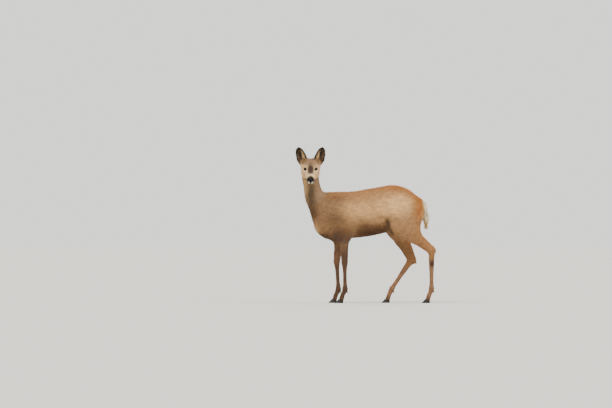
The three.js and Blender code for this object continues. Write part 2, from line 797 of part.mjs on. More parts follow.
/** A leg's space drawn in by the gap on every side, so that it clears the trunk. */
function shrunkSpace(name) {
  const space = legSpace[name];
  const { min, max } = space.boundingBox();
  const centre = min.map((c, i) => (c + max[i]) / 2);
  const factor = min.map((c, i) => 1 - (2 * GAP) / (max[i] - c));
  return space
    .translate(centre.map((c) => -c))
    .scale(factor)
    .translate(centre);
}

const trunkBox = net([-380, -140, 340], [380, 140, 730], CELLS.trunk);
const legSpaces = Object.values(legSpace);
add(
  'trunk',
  legSpaces.reduce((s, space) => s.subtract(space), inFrontOf(trunkBox, reversed(neckRoot))),
  'coat',
);

add('neck', tube(neckRoot, nape, [[-334, 0, 642], [-347, 2, 696]], ...RINGS.neck), 'neck');

// Head pieces.
const earFrame = (side) => {
  const lean = new THREE.Quaternion().setFromEuler(
    new THREE.Euler(rad(EAR_ROOT.back), rad(side * EAR_ROOT.lean), rad(-side * EAR_ROOT.outward), 'XYZ'),
  );
  const local = new THREE.Matrix4().compose(
    v(side * EAR_ROOT.at[0], EAR_ROOT.at[1], EAR_ROOT.at[2]),
    lean,
    v(1, 1, 1),
  );
  // The ear opens along the muzzle, which is +Y in the head's frame.
  return headFrame.clone().multiply(local).multiply(new THREE.Matrix4().makeRotationZ(Math.PI));
};
const earPlane = (side) => {
  const frame = earFrame(side);
  const point = v(0, 0, EAR_ROOT.cut).applyMatrix4(frame);
  return { point, normal: v(0, 0, EAR_ROOT.cut + 1).applyMatrix4(frame).sub(point) };
};

/** An ear cut off at `plane`, moved by dx and dy across its length. */
function ear(side, plane, dx = 0, dy = 0) {
  const geometry = earGeometry().translate(dx, dy, 0).applyMatrix4(earFrame(side));
  return inFrontOf(solidOf(geometry), plane);
}

const eyeBall = (side, radius) => {
  const c = eyeCentre(side).applyMatrix4(headFrame);
  const ball = new THREE.SphereGeometry(radius, 11, 6).rotateX(Math.PI / 2);
  return solidOf(ball.translate(c.x, c.y, c.z));
};
const headBox = net([-430, -185, 690], [-282, 60, 910], CELLS.head);
let skull = inFrontOf(headBox, nape, reversed(noseBack));
for (const side of [-1, 1]) {
  const plane = setBack(earPlane(side));
  skull = skull.subtract(ear(side, plane));
  for (const [dx, dy] of [[1, 0], [0, 1], [-1, 0], [0, -1]])
    skull = skull.subtract(ear(side, plane, dx * EAR_SLIT, dy * EAR_SLIT));
}
for (const side of [-1, 1]) skull = skull.subtract(eyeBall(side, EYE_RADIUS + GAP));
const below = headPoint(0, 60, -120);
const jawSpace = solidOf(new THREE.BoxGeometry(300, 300, 300).translate(...below.toArray()));
add('head', skull.subtract(inFrontOf(jawSpace, setBack(mouthLine), setBack(jawHinge))), 'face');
add('lower_jaw', inFrontOf(headBox, mouthLine, jawHinge, reversed(noseBack), nape), 'face');
add('nose', inFrontOf(headBox, noseBack), 'nose', 0.35);
for (const [name, side] of [['right', 1], ['left', -1]]) {
  add('eye_' + name, eyeBall(side, EYE_RADIUS), 'eye', 0.08);
  add('ear_' + name, ear(side, earPlane(side)), 'ear');
}

// Legs: upper leg, shank, cannon, pastern, then the hooves and dewclaws.
for (const [name, leg] of Object.entries(LEGS)) {
  const at = onSide(leg.side);
  const front = name.startsWith('front');
  const [upper, middle] = front ? [leg.elbow, leg.knee] : [leg.stifle, leg.hock];
  const shankTop = across(at(upper), at(middle), front ? 0.3 : 0.36);
  const cannonTop = across(at(middle), at(leg.fetlock), front ? 0.1 : 0.16);
  const pasternTop = across(at(middle), at(leg.fetlock), 0.9);
  const coronet = {
    point: v(leg.toe[0] + 4, leg.side * leg.toe[1], 21),
    normal: v(-0.42, 0, -0.91).normalize(),
  };

  const topBox = front
    ? net([-330, leg.side < 0 ? -150 : 0, 290], [-60, leg.side < 0 ? 0 : 150, 470], CELLS.foreleg)
    : net([20, leg.side < 0 ? -150 : -5, 290], [400, leg.side < 0 ? 5 : 150, 640], CELLS.hindleg);
  const inLegSpace = topBox.intersect(shrunkSpace(name));
  add('leg_' + name + '_upper', inFrontOf(inLegSpace, reversed(shankTop)), 'coat');

  if (!front) {
    const backward = v(-shankTop.normal.z, 0, shankTop.normal.x);
    shankTop.point.addScaledVector(backward, CALF_BACK);
  }
  const shankRings = front ? RINGS.foreShank : RINGS.hindShank;
  const shank = tube(shankTop, cannonTop, [at(front ? middle : leg.calf)], ...shankRings);
  add('leg_' + name + '_shank', shank.intersect(shrunkSpace(name)), 'leg');
  let cannon = tube(cannonTop, pasternTop, [], ...RINGS.cannon);
  let pastern = tube(pasternTop, coronet, [at(leg.fetlock)], ...RINGS.pastern);

  for (const digit of [-1, 1]) {
    const outer = digit === leg.side;
    const y = leg.side * leg.toe[1] + digit * (HOOF.width / 2 + TOE_GAP);
    const hoof = solidOf(
      hoofGeometry(-digit)
        .rotateZ(rad(-digit * HOOF.splay))
        .translate(leg.toe[0], y, 0),
    );
    add('hoof_' + name + (outer ? '_outer' : '_inner'), inFrontOf(hoof, coronet), 'hoof', 0.5);

    const [backX, middleY, clawZ] = at(leg.fetlock);
    const claw = (sizes) =>
      solidOf(
        dewclawGeometry(sizes)
          .rotateY(rad(DEWCLAW.tilt))
          .translate(backX + DEWCLAW.behind, middleY + digit * DEWCLAW.apart, clawZ - DEWCLAW.below),
      );
    const sizes = [DEWCLAW.length, DEWCLAW.width, DEWCLAW.thickness];
    const clawSpace = claw(grown(sizes));
    add('dewclaw_' + name + (outer ? '_outer' : '_inner'), claw(sizes), 'hoof', 0.5);
    pastern = pastern.subtract(clawSpace);
    cannon = cannon.subtract(clawSpace);
  }
  add('leg_' + name + '_cannon', cannon, 'leg');
  add('leg_' + name + '_pastern', pastern, 'leg');
}

// The tuft that hangs like a tail below the white rump patch.
const tuft = sweep([
  { at: [328, 0, 548], across: 26, deep: 23 },
  { at: [334, 0, 520], across: 23, deep: 17 },
  { at: [337, 0, 492], across: 16, deep: 12.5 },
  { at: [337, 0, 460], across: 7, deep: 7 },
]);
const hanging = (p) => carve(tuft(p), flesh(p) - 2.5, 5);
add('tail_tuft', netSurface(hanging, v(300, -40, 440), v(370, 40, 590), CELLS.tuft), 'white');

// The origin goes to the floor under the middle of the bounding box.
const bounds = new THREE.Box3().setFromObject(deer);
const centre = bounds.getCenter(v(0, 0, 0));
deer.position.set(-centre.x, -centre.y, -bounds.min.z);

export default deer;
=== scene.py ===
"""Looks of a still, life-size roe doe in her winter coat.

One skin replaces the pieces of flesh, the coat is laid over it in tufts, and the eyes and
the horn of the feet are pieces of their own. Lengths are in metres unless a name says
otherwise. The doe's breast points along -X, and her left side faces -Y.
"""

import logging
import math
import sys
from dataclasses import dataclass, field
from enum import Enum
from typing import Sequence

import bmesh
import bpy
import numpy as np
from mathutils import Matrix, Vector
from mathutils.bvhtree import BVHTree


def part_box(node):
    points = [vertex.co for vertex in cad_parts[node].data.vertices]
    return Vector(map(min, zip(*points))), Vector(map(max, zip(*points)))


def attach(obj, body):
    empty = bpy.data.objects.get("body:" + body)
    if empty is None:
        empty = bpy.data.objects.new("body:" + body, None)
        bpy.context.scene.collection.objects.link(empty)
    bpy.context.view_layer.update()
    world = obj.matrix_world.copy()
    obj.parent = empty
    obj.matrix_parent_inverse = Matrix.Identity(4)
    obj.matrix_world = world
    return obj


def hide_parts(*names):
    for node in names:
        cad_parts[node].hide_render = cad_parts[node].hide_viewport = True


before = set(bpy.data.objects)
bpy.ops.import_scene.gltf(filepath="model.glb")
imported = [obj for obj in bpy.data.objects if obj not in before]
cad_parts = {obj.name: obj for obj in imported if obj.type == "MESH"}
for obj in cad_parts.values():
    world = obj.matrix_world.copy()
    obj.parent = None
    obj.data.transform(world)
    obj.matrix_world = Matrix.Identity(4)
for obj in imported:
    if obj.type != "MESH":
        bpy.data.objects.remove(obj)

LOG = logging.getLogger("roe_doe")
BODY = "root"
MM = 0.001
SEED = 4117
CORNERS = ("front_left", "front_right", "hind_left", "hind_right")
SIDES = {"left": -1.0, "right": 1.0}


# ---------------------------------------------------------------- numbers and colours


def tone(red: int, green: int, blue: int) -> np.ndarray:
    """A display colour, 0 to 255 a channel, as linear light."""
    shown = np.array((red, green, blue), float) / 255.0
    return np.where(shown <= 0.04045, shown / 12.92, ((shown + 0.055) / 1.055) ** 2.4)


def ramp(low: float, high: float, value: np.ndarray) -> np.ndarray:
    """Smooth step from 0 at low to 1 at high; high may be the smaller one."""
    share = np.clip((value - low) / (high - low), 0.0, 1.0)
    return share * share * (3.0 - 2.0 * share)


def spot(points: np.ndarray, centre: Sequence[float], radii: Sequence[float]) -> np.ndarray:
    """A soft ellipsoid: 1 at its centre, 0.6 at its radii, 0 far off."""
    away = (points - np.asarray(centre, float)) / np.asarray(radii, float)
    return np.exp(-0.5 * (away * away).sum(1))


def unit(vectors: np.ndarray) -> np.ndarray:
    """The vectors at length one."""
    return vectors / np.maximum(np.linalg.norm(vectors, axis=-1, keepdims=True), 1e-12)


def ripple(points: np.ndarray, wavelength: float, seed: int) -> np.ndarray:
    """A smooth random field between about -1 and 1.

    Args:
        points: Places, one a row.
        wavelength: Typical distance between two crests.
        seed: Chooses the field.

    Returns:
        One value for each place.
    """
    chance = np.random.default_rng(seed)
    waves = unit(chance.normal(size=(7, 3))) * chance.uniform(0.7, 1.6, (7, 1)) / wavelength
    phases = chance.uniform(0.0, 2.0 * math.pi, 7)
    return np.sin(points @ (waves.T * 2.0 * math.pi) + phases).sum(1) / 2.6


# ---------------------------------------------------------------- the parts of the body


class Part(Enum):
    """The parts of the body on which the coat differs."""

    TRUNK = 0
    NECK = 1
    HEAD = 2
    EAR_LEFT = 3
    EAR_RIGHT = 4
    TAIL = 5
    FORE_UPPER = 6
    FORE_SHANK = 7
    FORE_CANNON = 8
    FORE_PASTERN = 9
    HIND_UPPER = 10
    HIND_SHANK = 11
    HIND_CANNON = 12
    HIND_PASTERN = 13


HEAD_NODES = {"head": Part.HEAD, "lower_jaw": Part.HEAD, "nose": Part.HEAD}
SINGLE_NODES = {
    "trunk": Part.TRUNK,
    "neck": Part.NECK,
    "tail_tuft": Part.TAIL,
    "ear_left": Part.EAR_LEFT,
    "ear_right": Part.EAR_RIGHT,
    **HEAD_NODES,
}
LEG_STRETCHES = ("upper", "shank", "cannon", "pastern")


def flesh_nodes() -> dict[str, Part]:
    """Every node that the skin replaces.

    Returns:
        The part of the body that each node belongs to.
    """
    nodes = dict(SINGLE_NODES)
    for corner in CORNERS:
        pair = "FORE" if corner.startswith("front") else "HIND"
        for stretch in LEG_STRETCHES:
            nodes[f"leg_{corner}_{stretch}"] = Part[f"{pair}_{stretch.upper()}"]
    return nodes


@dataclass(frozen=True)
class Lie:
    """How the coat lies on one part of the body.

    Attributes:
        towards: Way that the tips point, before it is laid along the skin.
        length_mm: Length of a tuft.
        width_mm: Width of a tuft at its widest.
        lift_deg: Angle between a tuft and the skin.
        depth_mm: How far the skin lies under the tips of the coat.
        cover: How many tufts lie over each point of the skin.
    """

    towards: tuple[float, float, float]
    length_mm: float
    width_mm: float
    lift_deg: float
    depth_mm: float
    cover: float


LIES = {
    Part.TRUNK: Lie((1.0, 0.0, -0.32), 22.0, 1.15, 11.0, 4.4, 2.6),
    Part.NECK: Lie((0.35, 0.0, -1.0), 21.0, 1.0, 12.0, 4.4, 2.8),
    Part.HEAD: Lie((0.0, 0.86, 0.42), 7.0, 0.7, 8.0, 1.0, 1.6),
    Part.EAR_LEFT: Lie((0.30, 0.10, 0.95), 6.5, 0.8, 8.0, 0.9, 1.6),
    Part.EAR_RIGHT: Lie((-0.30, 0.10, 0.95), 6.5, 0.8, 8.0, 0.9, 1.6),
    Part.TAIL: Lie((0.10, 0.0, -1.0), 30.0, 1.1, 9.0, 5.0, 13.0),
    Part.FORE_UPPER: Lie((0.22, 0.0, -1.0), 16.0, 1.1, 9.0, 2.7, 2.1),
    Part.FORE_SHANK: Lie((0.05, 0.0, -1.0), 10.0, 1.0, 8.0, 1.5, 1.9),
    Part.FORE_CANNON: Lie((0.0, 0.0, -1.0), 8.0, 0.95, 7.0, 1.1, 1.7),
    Part.FORE_PASTERN: Lie((-0.2, 0.0, -1.0), 7.0, 0.95, 9.0, 1.0, 1.7),
    Part.HIND_UPPER: Lie((0.35, 0.0, -1.0), 18.0, 1.15, 10.0, 3.2, 2.3),
    Part.HIND_SHANK: Lie((0.50, 0.0, -1.0), 12.0, 1.05, 9.0, 1.9, 2.0),
    Part.HIND_CANNON: Lie((-0.05, 0.0, -1.0), 8.5, 1.0, 7.0, 1.1, 1.7),
    Part.HIND_PASTERN: Lie((-0.2, 0.0, -1.0), 7.0, 0.95, 9.0, 1.0, 1.7),
}


# ---------------------------------------------------------------- the head's own axes


class HeadAxes:
    """The head's own frame, in millimetres.

    X points to the doe's right, Y along the muzzle and Z up from the face. Its place and
    turn come from the two eyes; only the pitch of the face is a size of its own.
    """

    pitch_deg = 27.0
    eyes_mm = (0.0, 5.0, 3.0)

    def __init__(self) -> None:
        """Reads the eyes' centres from the frame."""
        self.eye = {}
        for side in SIDES:
            low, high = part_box(f"eye_{side}")
            self.eye[side] = np.array((low + high) / 2)
        across = unit(self.eye["right"] - self.eye["left"])
        pitch = math.radians(self.pitch_deg)
        level = unit(np.array((across[1], -across[0], 0.0)))
        if level[1] > 0.0:
            level = -level
        along = level * math.cos(pitch) + np.array((0.0, 0.0, -math.sin(pitch)))
        up = unit(np.cross(across, along))
        along = unit(np.cross(up, across))
        self.axes = np.stack((across, along, up))
        middle = (self.eye["right"] + self.eye["left"]) / 2
        self.origin = middle - (np.array(self.eyes_mm) * MM) @ self.axes

    def inside(self, points: np.ndarray) -> np.ndarray:
        """Places in the head's frame, in millimetres, of places in the row's frame."""
        return (points - self.origin) @ self.axes.T / MM

    def outside(self, points_mm: np.ndarray) -> np.ndarray:
        """Places in the row's frame of places in the head's frame."""
        return points_mm * MM @ self.axes + self.origin

    def direction(self, vector: Sequence[float]) -> np.ndarray:
        """A direction of the head's frame in the row's frame."""
        return unit(np.asarray(vector, float)) @ self.axes


HEAD = HeadAxes()


def body_place() -> np.ndarray:
    """How far the body stands from the frame in which its marks are measured.

    Returns:
        The shift, from where the left forefoot's outer hoof stands.
    """
    low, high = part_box("hoof_front_left_outer")
    middle = np.array((low + high) / 2) * (1, 1, 0)
    return middle - np.array((-0.1626, -0.0472, 0.0))


PLACE = body_place()


class EarAxes:
    """One ear's own frame, from the shape of its piece.

    `inside` gives three numbers for each place: across from the middle line, -1 and 1 at the
    rim and plus towards the outside; up from 0 at the root to 1 at the tip; and how far the
    place lies on the open, front side of the ear.
    """

    rounding = 3.1

    def __init__(self, side: str) -> None:
        """Reads the ear's piece.

        Args:
            side: Which ear.
        """
        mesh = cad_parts[f"ear_{side}"].data
        corners = np.array([vertex.co for vertex in mesh.vertices])
        self.middle = corners.mean(0)
        spread = np.linalg.svd(corners - self.middle, full_matrices=False)[2]
        self.up = spread[0] * np.sign(spread[0][2])
        outwards = np.array((-SIDES[side], 0.0, 0.0))
        across = outwards - self.up * (outwards @ self.up)
        self.across = unit(across)
        self.front = np.cross(self.up, self.across)
        self.front *= -np.sign(self.front[1])
        level = (corners - self.middle) @ self.up
        self.low, self.high = level.min(), level.max()
        self.half = np.abs((corners - self.middle) @ self.across).max()

    def inside(self, points: np.ndarray, normals: np.ndarray) -> tuple[np.ndarray, ...]:
        """Where places lie on the ear.

        Args:
            points: Places in the row's frame.
            normals: Outward normals there.

        Returns:
            Across, up and front for each place; see the class.
        """
        away = points - self.middle
        up = (away @ self.up - self.low) / (self.high - self.low)
        height = np.clip(up, 0.0, 0.995)
        leaf = np.minimum(1.0, 0.66 + 1.0 * height) * np.sqrt(1.0 - height**self.rounding)
        across = away @ self.across / (self.half * np.maximum(leaf, 0.12))
        return across, up, normals @ self.front


EARS = {side: EarAxes(side) for side in SIDES}


# ---------------------------------------------------------------- mesh helpers


@dataclass
class Net:
    """The vertices, triangles and edges of a mesh as arrays."""

    points: np.ndarray
    triangles: np.ndarray
    edges: np.ndarray
    degree: np.ndarray = field(init=False)

    def __post_init__(self) -> None:
        """Counts each vertex's neighbours."""
        counted = np.bincount(self.edges.ravel(), minlength=len(self.points))
        self.degree = np.maximum(counted, 1).astype(float)

    @classmethod
    def of(cls, mesh: bpy.types.Mesh) -> "Net":
        """Reads a triangulated mesh.

        Args:
            mesh: The mesh.

        Returns:
            Its net.
        """
        points = np.empty(len(mesh.vertices) * 3, np.float32)
        mesh.vertices.foreach_get("co", points)
        edges = np.empty(len(mesh.edges) * 2, np.int32)
        mesh.edges.foreach_get("vertices", edges)
        mesh.calc_loop_triangles()
        triangles = np.empty(len(mesh.loop_triangles) * 3, np.int32)
        mesh.loop_triangles.foreach_get("vertices", triangles)
        return cls(points.reshape(-1, 3).astype(float), triangles.reshape(-1, 3), edges.reshape(-1, 2))

    def mean(self, values: np.ndarray) -> np.ndarray:
        """The mean of each vertex's neighbours.

        Args:
            values: One row for each vertex.

        Returns:
            Means of the same shape.
        """
        first, second = self.edges.T
        count = len(self.points)
        columns = [
            np.bincount(first, column[second], count) + np.bincount(second, column[first], count)
            for column in values.T
        ]
        return np.stack(columns, 1) / self.degree[:, None]

    def spread(self, values: np.ndarray, rounds: int, share: float = 0.6) -> np.ndarray:
        """Values blended with their neighbours' over several rounds.

        Args:
            values: One row for each vertex.
            rounds: How often they are blended.
            share: How far they go towards their neighbours' mean in a round.

        Returns:
            The blended values.
        """
        for _ in range(rounds):
            values = values + share * (self.mean(values) - values)
        return values

    def relax(self, share: np.ndarray, rounds: int) -> None:
        """Smooths the surface; share says for each vertex how far it follows."""
        for _ in range(rounds):
            self.points += share[:, None] * (self.mean(self.points) - self.points)

    def normals(self) -> np.ndarray:
        """Outward directions at the vertices.

        Returns:
            One unit vector for each vertex.
        """
        first, second, third = (self.points[self.triangles[:, i]] for i in range(3))
        faces = np.cross(second - first, third - first)
        summed = np.stack(
            [
                sum(
                    np.bincount(self.triangles[:, i], faces[:, axis], len(self.points))
                    for i in range(3)
                )
                for axis in range(3)
            ],
            1,
        )
        return unit(summed)

    def areas(self) -> np.ndarray:
        """Areas of the triangles."""
        first, second, third = (self.points[self.triangles[:, i]] for i in range(3))
        return np.linalg.norm(np.cross(second - first, third - first), axis=1) / 2


def new_object(name: str, mesh: bpy.types.Mesh) -> bpy.types.Object:
    """Links a mesh to the scene as an object at the origin.

    Args:
        name: The object's name.
        mesh: Its mesh.

    Returns:
        The object.
    """
    thing = bpy.data.objects.new(name, mesh)
    bpy.context.scene.collection.objects.link(thing)
    return thing


def settled(thing: bpy.types.Object) -> bpy.types.Object:
    """Applies an object's modifiers.

    Args:
        thing: The object.

    Returns:
        The same object, its mesh as the modifiers left it.
    """
    view = bpy.context.evaluated_depsgraph_get()
    view.update()
    mesh = bpy.data.meshes.new_from_object(thing.evaluated_get(view))
    thing.modifiers.clear()
    old = thing.data
    thing.data = mesh
    bpy.data.meshes.remove(old)
    return thing


def set_colours(mesh: bpy.types.Mesh, name: str, colours: np.ndarray) -> None:
    """Stores one linear colour for each vertex.

    Args:
        mesh: The mesh that takes them.
        name: The attribute's name.
        colours: One row for each vertex.
    """
    layer = mesh.attributes.new(name, "FLOAT_COLOR", "POINT")
    rows = np.ones((len(colours), 4), np.float32)
    rows[:, :3] = colours
    layer.data.foreach_set("color", rows.ravel())


def set_values(mesh: bpy.types.Mesh, name: str, values: np.ndarray) -> None:
    """Stores one number for each vertex."""
    layer = mesh.attributes.new(name, "FLOAT", "POINT")
    layer.data.foreach_set("value", values.astype(np.float32))


# ---------------------------------------------------------------- markings


@dataclass
class Canvas:
    """Places on the skin, and the colours laid on them so far.

    Attributes:
        points: The places, in the row's frame.
        normals: Outward normals there.
        share: How far each place belongs to each part, one column for each part.
        soft: The same with wide, soft borders between the parts.
        colours: Linear colours, one row for each place.
    """

    points: np.ndarray
    normals: np.ndarray
    share: np.ndarray
    soft: np.ndarray
    colours: np.ndarray

    def lay(self, colour: tuple, amount: np.ndarray) -> None:
        """Lays one colour over the others.

        Args:
            colour: Display colour.
            amount: How much of it covers each place; held between 0 and 1.
        """
        amount = np.clip(amount, 0.0, 1.0)[:, None]
        self.colours = self.colours * (1.0 - amount) + tone(*colour) * amount

    def crisp(self, *parts: Part) -> np.ndarray:
        """How far each place belongs to some parts."""
        return sum(self.share[:, part.value] for part in parts)

    def softly(self, *parts: Part) -> np.ndarray:
        """How far each place belongs to some parts, with soft borders."""
        return sum(self.soft[:, part.value] for part in parts)


@dataclass(frozen=True)
class Markings:
    """The colours of the winter coat, as display colours of its parts, some of them painted light and
    shade.
    """

    flank: tuple = (203, 157, 106)
    # painted highlight: light from above by the loin, and light along the edges of the neck and breast
    pale_highlight: tuple = (246, 202, 140)
    back: tuple = (178, 128, 82)
    withers: tuple = (92, 63, 42)
    rump: tuple = (188, 116, 50)
    shoulder: tuple = (164, 126, 90)
    # dark brown of the chest, partly painted shade under the body
    chest_and_shade: tuple = (86, 58, 38)
    # painted shade under the body and in the fold before the thigh
    belly_shade: tuple = (86, 57, 36)
    neck: tuple = (142, 116, 86)
    # painted rim light along the back of the neck
    neck_back_light: tuple = (178, 144, 110)
    # darker throat, partly painted shade
    throat: tuple = (82, 65, 50)
    cheek: tuple = (228, 190, 142)
    pale: tuple = (250, 224, 186)
    # golden brown of the face and the ear roots; also painted shade under the jaw and the chin
    crown: tuple = (146, 112, 80)
    gold_and_shade: tuple = (128, 92, 54)
    bridge: tuple = (66, 50, 41)
    black: tuple = (16, 14, 14)
    white: tuple = (255, 243, 216)
    cream: tuple = (250, 206, 136)
    thigh: tuple = (180, 134, 88)
    shank: tuple = (168, 120, 72)
    # brown of the hind cannons; also painted light on the far foreleg and the forelegs' front edges
    cannon: tuple = (146, 106, 74)
    # dark brown of the forelegs, partly painted shade; also painted shade on the far hind shank
    foreleg: tuple = (92, 64, 45)
    gland: tuple = (58, 34, 20)
    # painted shadow of the fold in front of the thigh
    crease: tuple = (58, 39, 26)
    ear_back: tuple = (118, 92, 66)
    ear_inside: tuple = (52, 38, 27)
    ear_rim: tuple = (22, 15, 12)
    wool: tuple = (222, 184, 132)

    def base(self) -> np.ndarray:
        """Base colours of the parts.

        Returns:
            Linear colours, one row for each member of Part.
        """
        rows = {
            Part.TRUNK: self.flank,
            Part.NECK: self.neck,
            Part.HEAD: self.cheek,
            Part.EAR_LEFT: self.ear_back,
            Part.EAR_RIGHT: self.ear_back,
            Part.TAIL: self.cream,
            Part.FORE_UPPER: self.shoulder,
            Part.FORE_SHANK: self.foreleg,
            Part.FORE_CANNON: self.foreleg,
            Part.FORE_PASTERN: self.foreleg,
            Part.HIND_UPPER: self.thigh,
            Part.HIND_SHANK: self.shank,
            Part.HIND_CANNON: self.cannon,
            Part.HIND_PASTERN: self.cannon,
        }
        return np.array([tone(*rows[part]) for part in Part])

    def paint(self, points: np.ndarray, normals: np.ndarray, share: np.ndarray,
              soft: np.ndarray) -> np.ndarray:
        """Colour of the coat at each place, painted light and shade included.

        Args:
            points: Places on the skin.
            normals: Outward normals there.
            share: How far each place belongs to each part, one column for each part.
            soft: The same with wide, soft borders between the parts.

        Returns:
            Linear colours, one row for each place.
        """
        canvas = Canvas(points, normals, share, soft, soft @ self.base())
        self.paint_trunk(canvas)
        self.paint_rear(canvas)
        self.paint_legs(canvas)
        self.paint_head(canvas)
        self.paint_ears(canvas)
        return canvas.colours

    def paint_trunk(self, canvas: Canvas) -> None:
        """Lays the marks of the trunk and the neck, painted shade and painted highlights among them.

        Args:
            canvas: The places to colour.
        """
        points, upward = canvas.points - PLACE, canvas.normals[:, 2]
        x, z = points[:, 0], points[:, 2]
        side = points * (1, 0, 1)
        trunk = canvas.softly(Part.TRUNK)
        body = np.clip(trunk + canvas.softly(Part.HIND_UPPER, Part.FORE_UPPER), 0, 1)
        neck = canvas.softly(Part.NECK)
        both = np.clip(neck + trunk, 0, 1)
        canvas.lay(self.shoulder, body * ramp(-0.10, -0.19, x) * ramp(0.46, 0.52, z))
        # painted highlight where light from above falls by the loin
        canvas.lay(self.pale_highlight, body * 0.9 * spot(side, (0.185, 0, 0.590), (0.085, 1, 0.045)))
        # painted highlight along the flank over the ribs
        flank_highlight = spot(side, (-0.050, 0, 0.560), (0.075, 1, 0.03))
        canvas.lay(self.pale_highlight, body * 0.45 * flank_highlight)
        canvas.lay(self.withers, body * 0.95 * spot(side, (-0.215, 0, 0.665), (0.08, 1, 0.030)))
        canvas.lay(self.back, trunk * 0.9 * ramp(0.25, 0.95, upward) * ramp(0.58, 0.63, z))
        croup = spot(side, (0.215, 0, 0.700), (0.11, 1, 0.022))
        canvas.lay(self.rump, trunk * 0.7 * croup)
        # darker low chest, partly painted shade
        canvas.lay(self.chest_and_shade, body * 0.85 * spot(side, (-0.175, 0, 0.425), (0.07, 1, 0.05)))
        behind_shoulder = spot(side, (-0.205, 0, 0.495), (0.05, 1, 0.04))
        canvas.lay(self.chest_and_shade, body * 0.45 * behind_shoulder)
        # painted shade on the belly, darker the more the skin faces down
        canvas.lay(self.belly_shade, trunk * 0.9 * ramp(-0.15, -0.8, upward))
        # painted shade along the low side of the body
        height = z - 0.12 * np.maximum(x, 0)
        height += 0.012 * ripple(points * (0.4, 1, 1), 0.05, 12)
        low_side_shade = ramp(0.525, 0.455, height) * ramp(-0.13, -0.02, x)
        canvas.lay(self.belly_shade, trunk * 0.72 * low_side_shade)
        # painted shadow in the fold in front of the thigh
        canvas.lay(self.crease, body * 0.7 * ramp(0.021, 0.001, self.fold(x, z)))
        # painted rim light along the back of the neck
        canvas.lay(self.neck_back_light, neck * 0.95 * ramp(-0.33, -0.295, x) * ramp(0.60, 0.66, z))
        # darker throat, partly painted shade
        canvas.lay(self.throat, neck * 0.85 * spot(points, (-0.342, -0.055, 0.652), (0.020, 0.06, 0.060)))
        canvas.lay(self.chest_and_shade, both * 0.75 * spot(side, (-0.322, 0, 0.552), (0.026, 1, 0.035)))
        # painted rim light along the front edges of the neck and the breast
        neck_edge_light = spot(points, (-0.374, -0.03, 0.67), (0.014, 0.04, 0.10))
        canvas.lay(self.pale_highlight, both * 0.85 * neck_edge_light)
        breast_edge_light = spot(points, (-0.300, -0.03, 0.450), (0.016, 0.035, 0.016))
        canvas.lay(self.pale_highlight, both * 0.65 * breast_edge_light)

    def fold(self, x: np.ndarray, z: np.ndarray) -> np.ndarray:
        """Distance, seen from the side, to the fold in front of the thigh.

        Args:
            x: Places along the body.
            z: Their heights.

        Returns:
            The distances.
        """
        top, low = np.array((0.112, 0.505)), np.array((0.152, 0.425))
        along = low - top
        away = np.stack((x, z), 1) - top
        share = np.clip(away @ along / (along @ along), 0.0, 1.0)
        return np.linalg.norm(away - share[:, None] * along, axis=1)

    def paint_rear(self, canvas: Canvas) -> None:
        """Lays the orange of the rump, its white patch and the cream tuft under it.

        Args:
            canvas: The places to colour.
        """
        x, y, z = (canvas.points - PLACE).T
        body = canvas.crisp(Part.TRUNK, Part.HIND_UPPER)
        canvas.lay(self.rump, body * 0.85 * ramp(0.24, 0.32, x) * ramp(0.47, 0.55, z))
        canvas.lay(self.rump, body * 0.5 * ramp(0.19, 0.28, x) * ramp(0.60, 0.67, z))
        canvas.lay(self.cream, body * 0.5 * ramp(0.320, 0.345, x) * ramp(0.47, 0.52, z))
        reach = np.hypot((y - 0.017) / 0.052, (z - 0.568) / 0.056)
        canvas.lay(self.white, body * ramp(1.12, 0.92, reach) * ramp(0.322, 0.334, x))
        canvas.lay(self.white, canvas.crisp(Part.TAIL) * 0.9 * ramp(0.49, 0.54, z))

    def paint_legs(self, canvas: Canvas) -> None:
        """Lays the marks of the legs, painted light and painted shade among them.

        Args:
            canvas: The places to colour.
        """
        points, forward = canvas.points - PLACE, canvas.normals[:, 0]
        y, z = points[:, 1], points[:, 2]
        fore = canvas.softly(Part.FORE_UPPER, Part.FORE_SHANK)
        # darker top of the forelegs under the chest, partly painted shade
        canvas.lay(self.chest_and_shade, fore * 0.7 * ramp(0.34, 0.39, z) * ramp(0.47, 0.43, z))
        # painted light: the far foreleg lighter than the near one
        far_foreleg_light = ramp(0.02, 0.05, y) * ramp(0.42, 0.36, z)
        canvas.lay(self.cannon, fore * 0.6 * far_foreleg_light)
        # painted highlight along the forelegs' front edges
        lit_front_edge = ramp(-0.3, -0.8, forward) * ramp(0.40, 0.33, z)
        canvas.lay(self.cannon, (fore + canvas.softly(Part.FORE_CANNON)) * 0.45 * lit_front_edge)
        hind = canvas.softly(Part.HIND_SHANK, Part.HIND_UPPER)
        # painted shade on the far hind shank
        far_shank_shade = ramp(0.04, 0.065, y) * ramp(0.44, 0.34, z) * ramp(0.22, 0.28, z)
        canvas.lay(self.foreleg, hind * 0.55 * far_shank_shade)
        rear_edge = ramp(0.2, 0.8, forward) * ramp(0.52, 0.45, z)
        canvas.lay(self.rump, hind * 0.5 * rear_edge)
        # painted shade under the fold between belly and thigh
        thigh_fold_shade = spot(points * (1, 0, 1), (0.118, 0, 0.478), (0.016, 1, 0.04))
        canvas.lay(self.belly_shade, hind * 0.6 * thigh_fold_shade)
        for side, sign in SIDES.items():
            low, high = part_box(f"leg_hind_{side}_cannon")
            outer = (low if sign < 0 else high)[1]
            gland = np.array((high[0] - 0.012, outer, high[2] - 0.035)) - PLACE
            canvas.lay(self.gland, 0.9 * ramp(0.2, 0.85, spot(points, gland, (0.015, 0.02, 0.018))))
        pastern = canvas.crisp(Part.FORE_PASTERN, Part.HIND_PASTERN)
        # darker just above the hooves
        canvas.lay(self.chest_and_shade, pastern * 0.6 * ramp(0.06, 0.03, z))

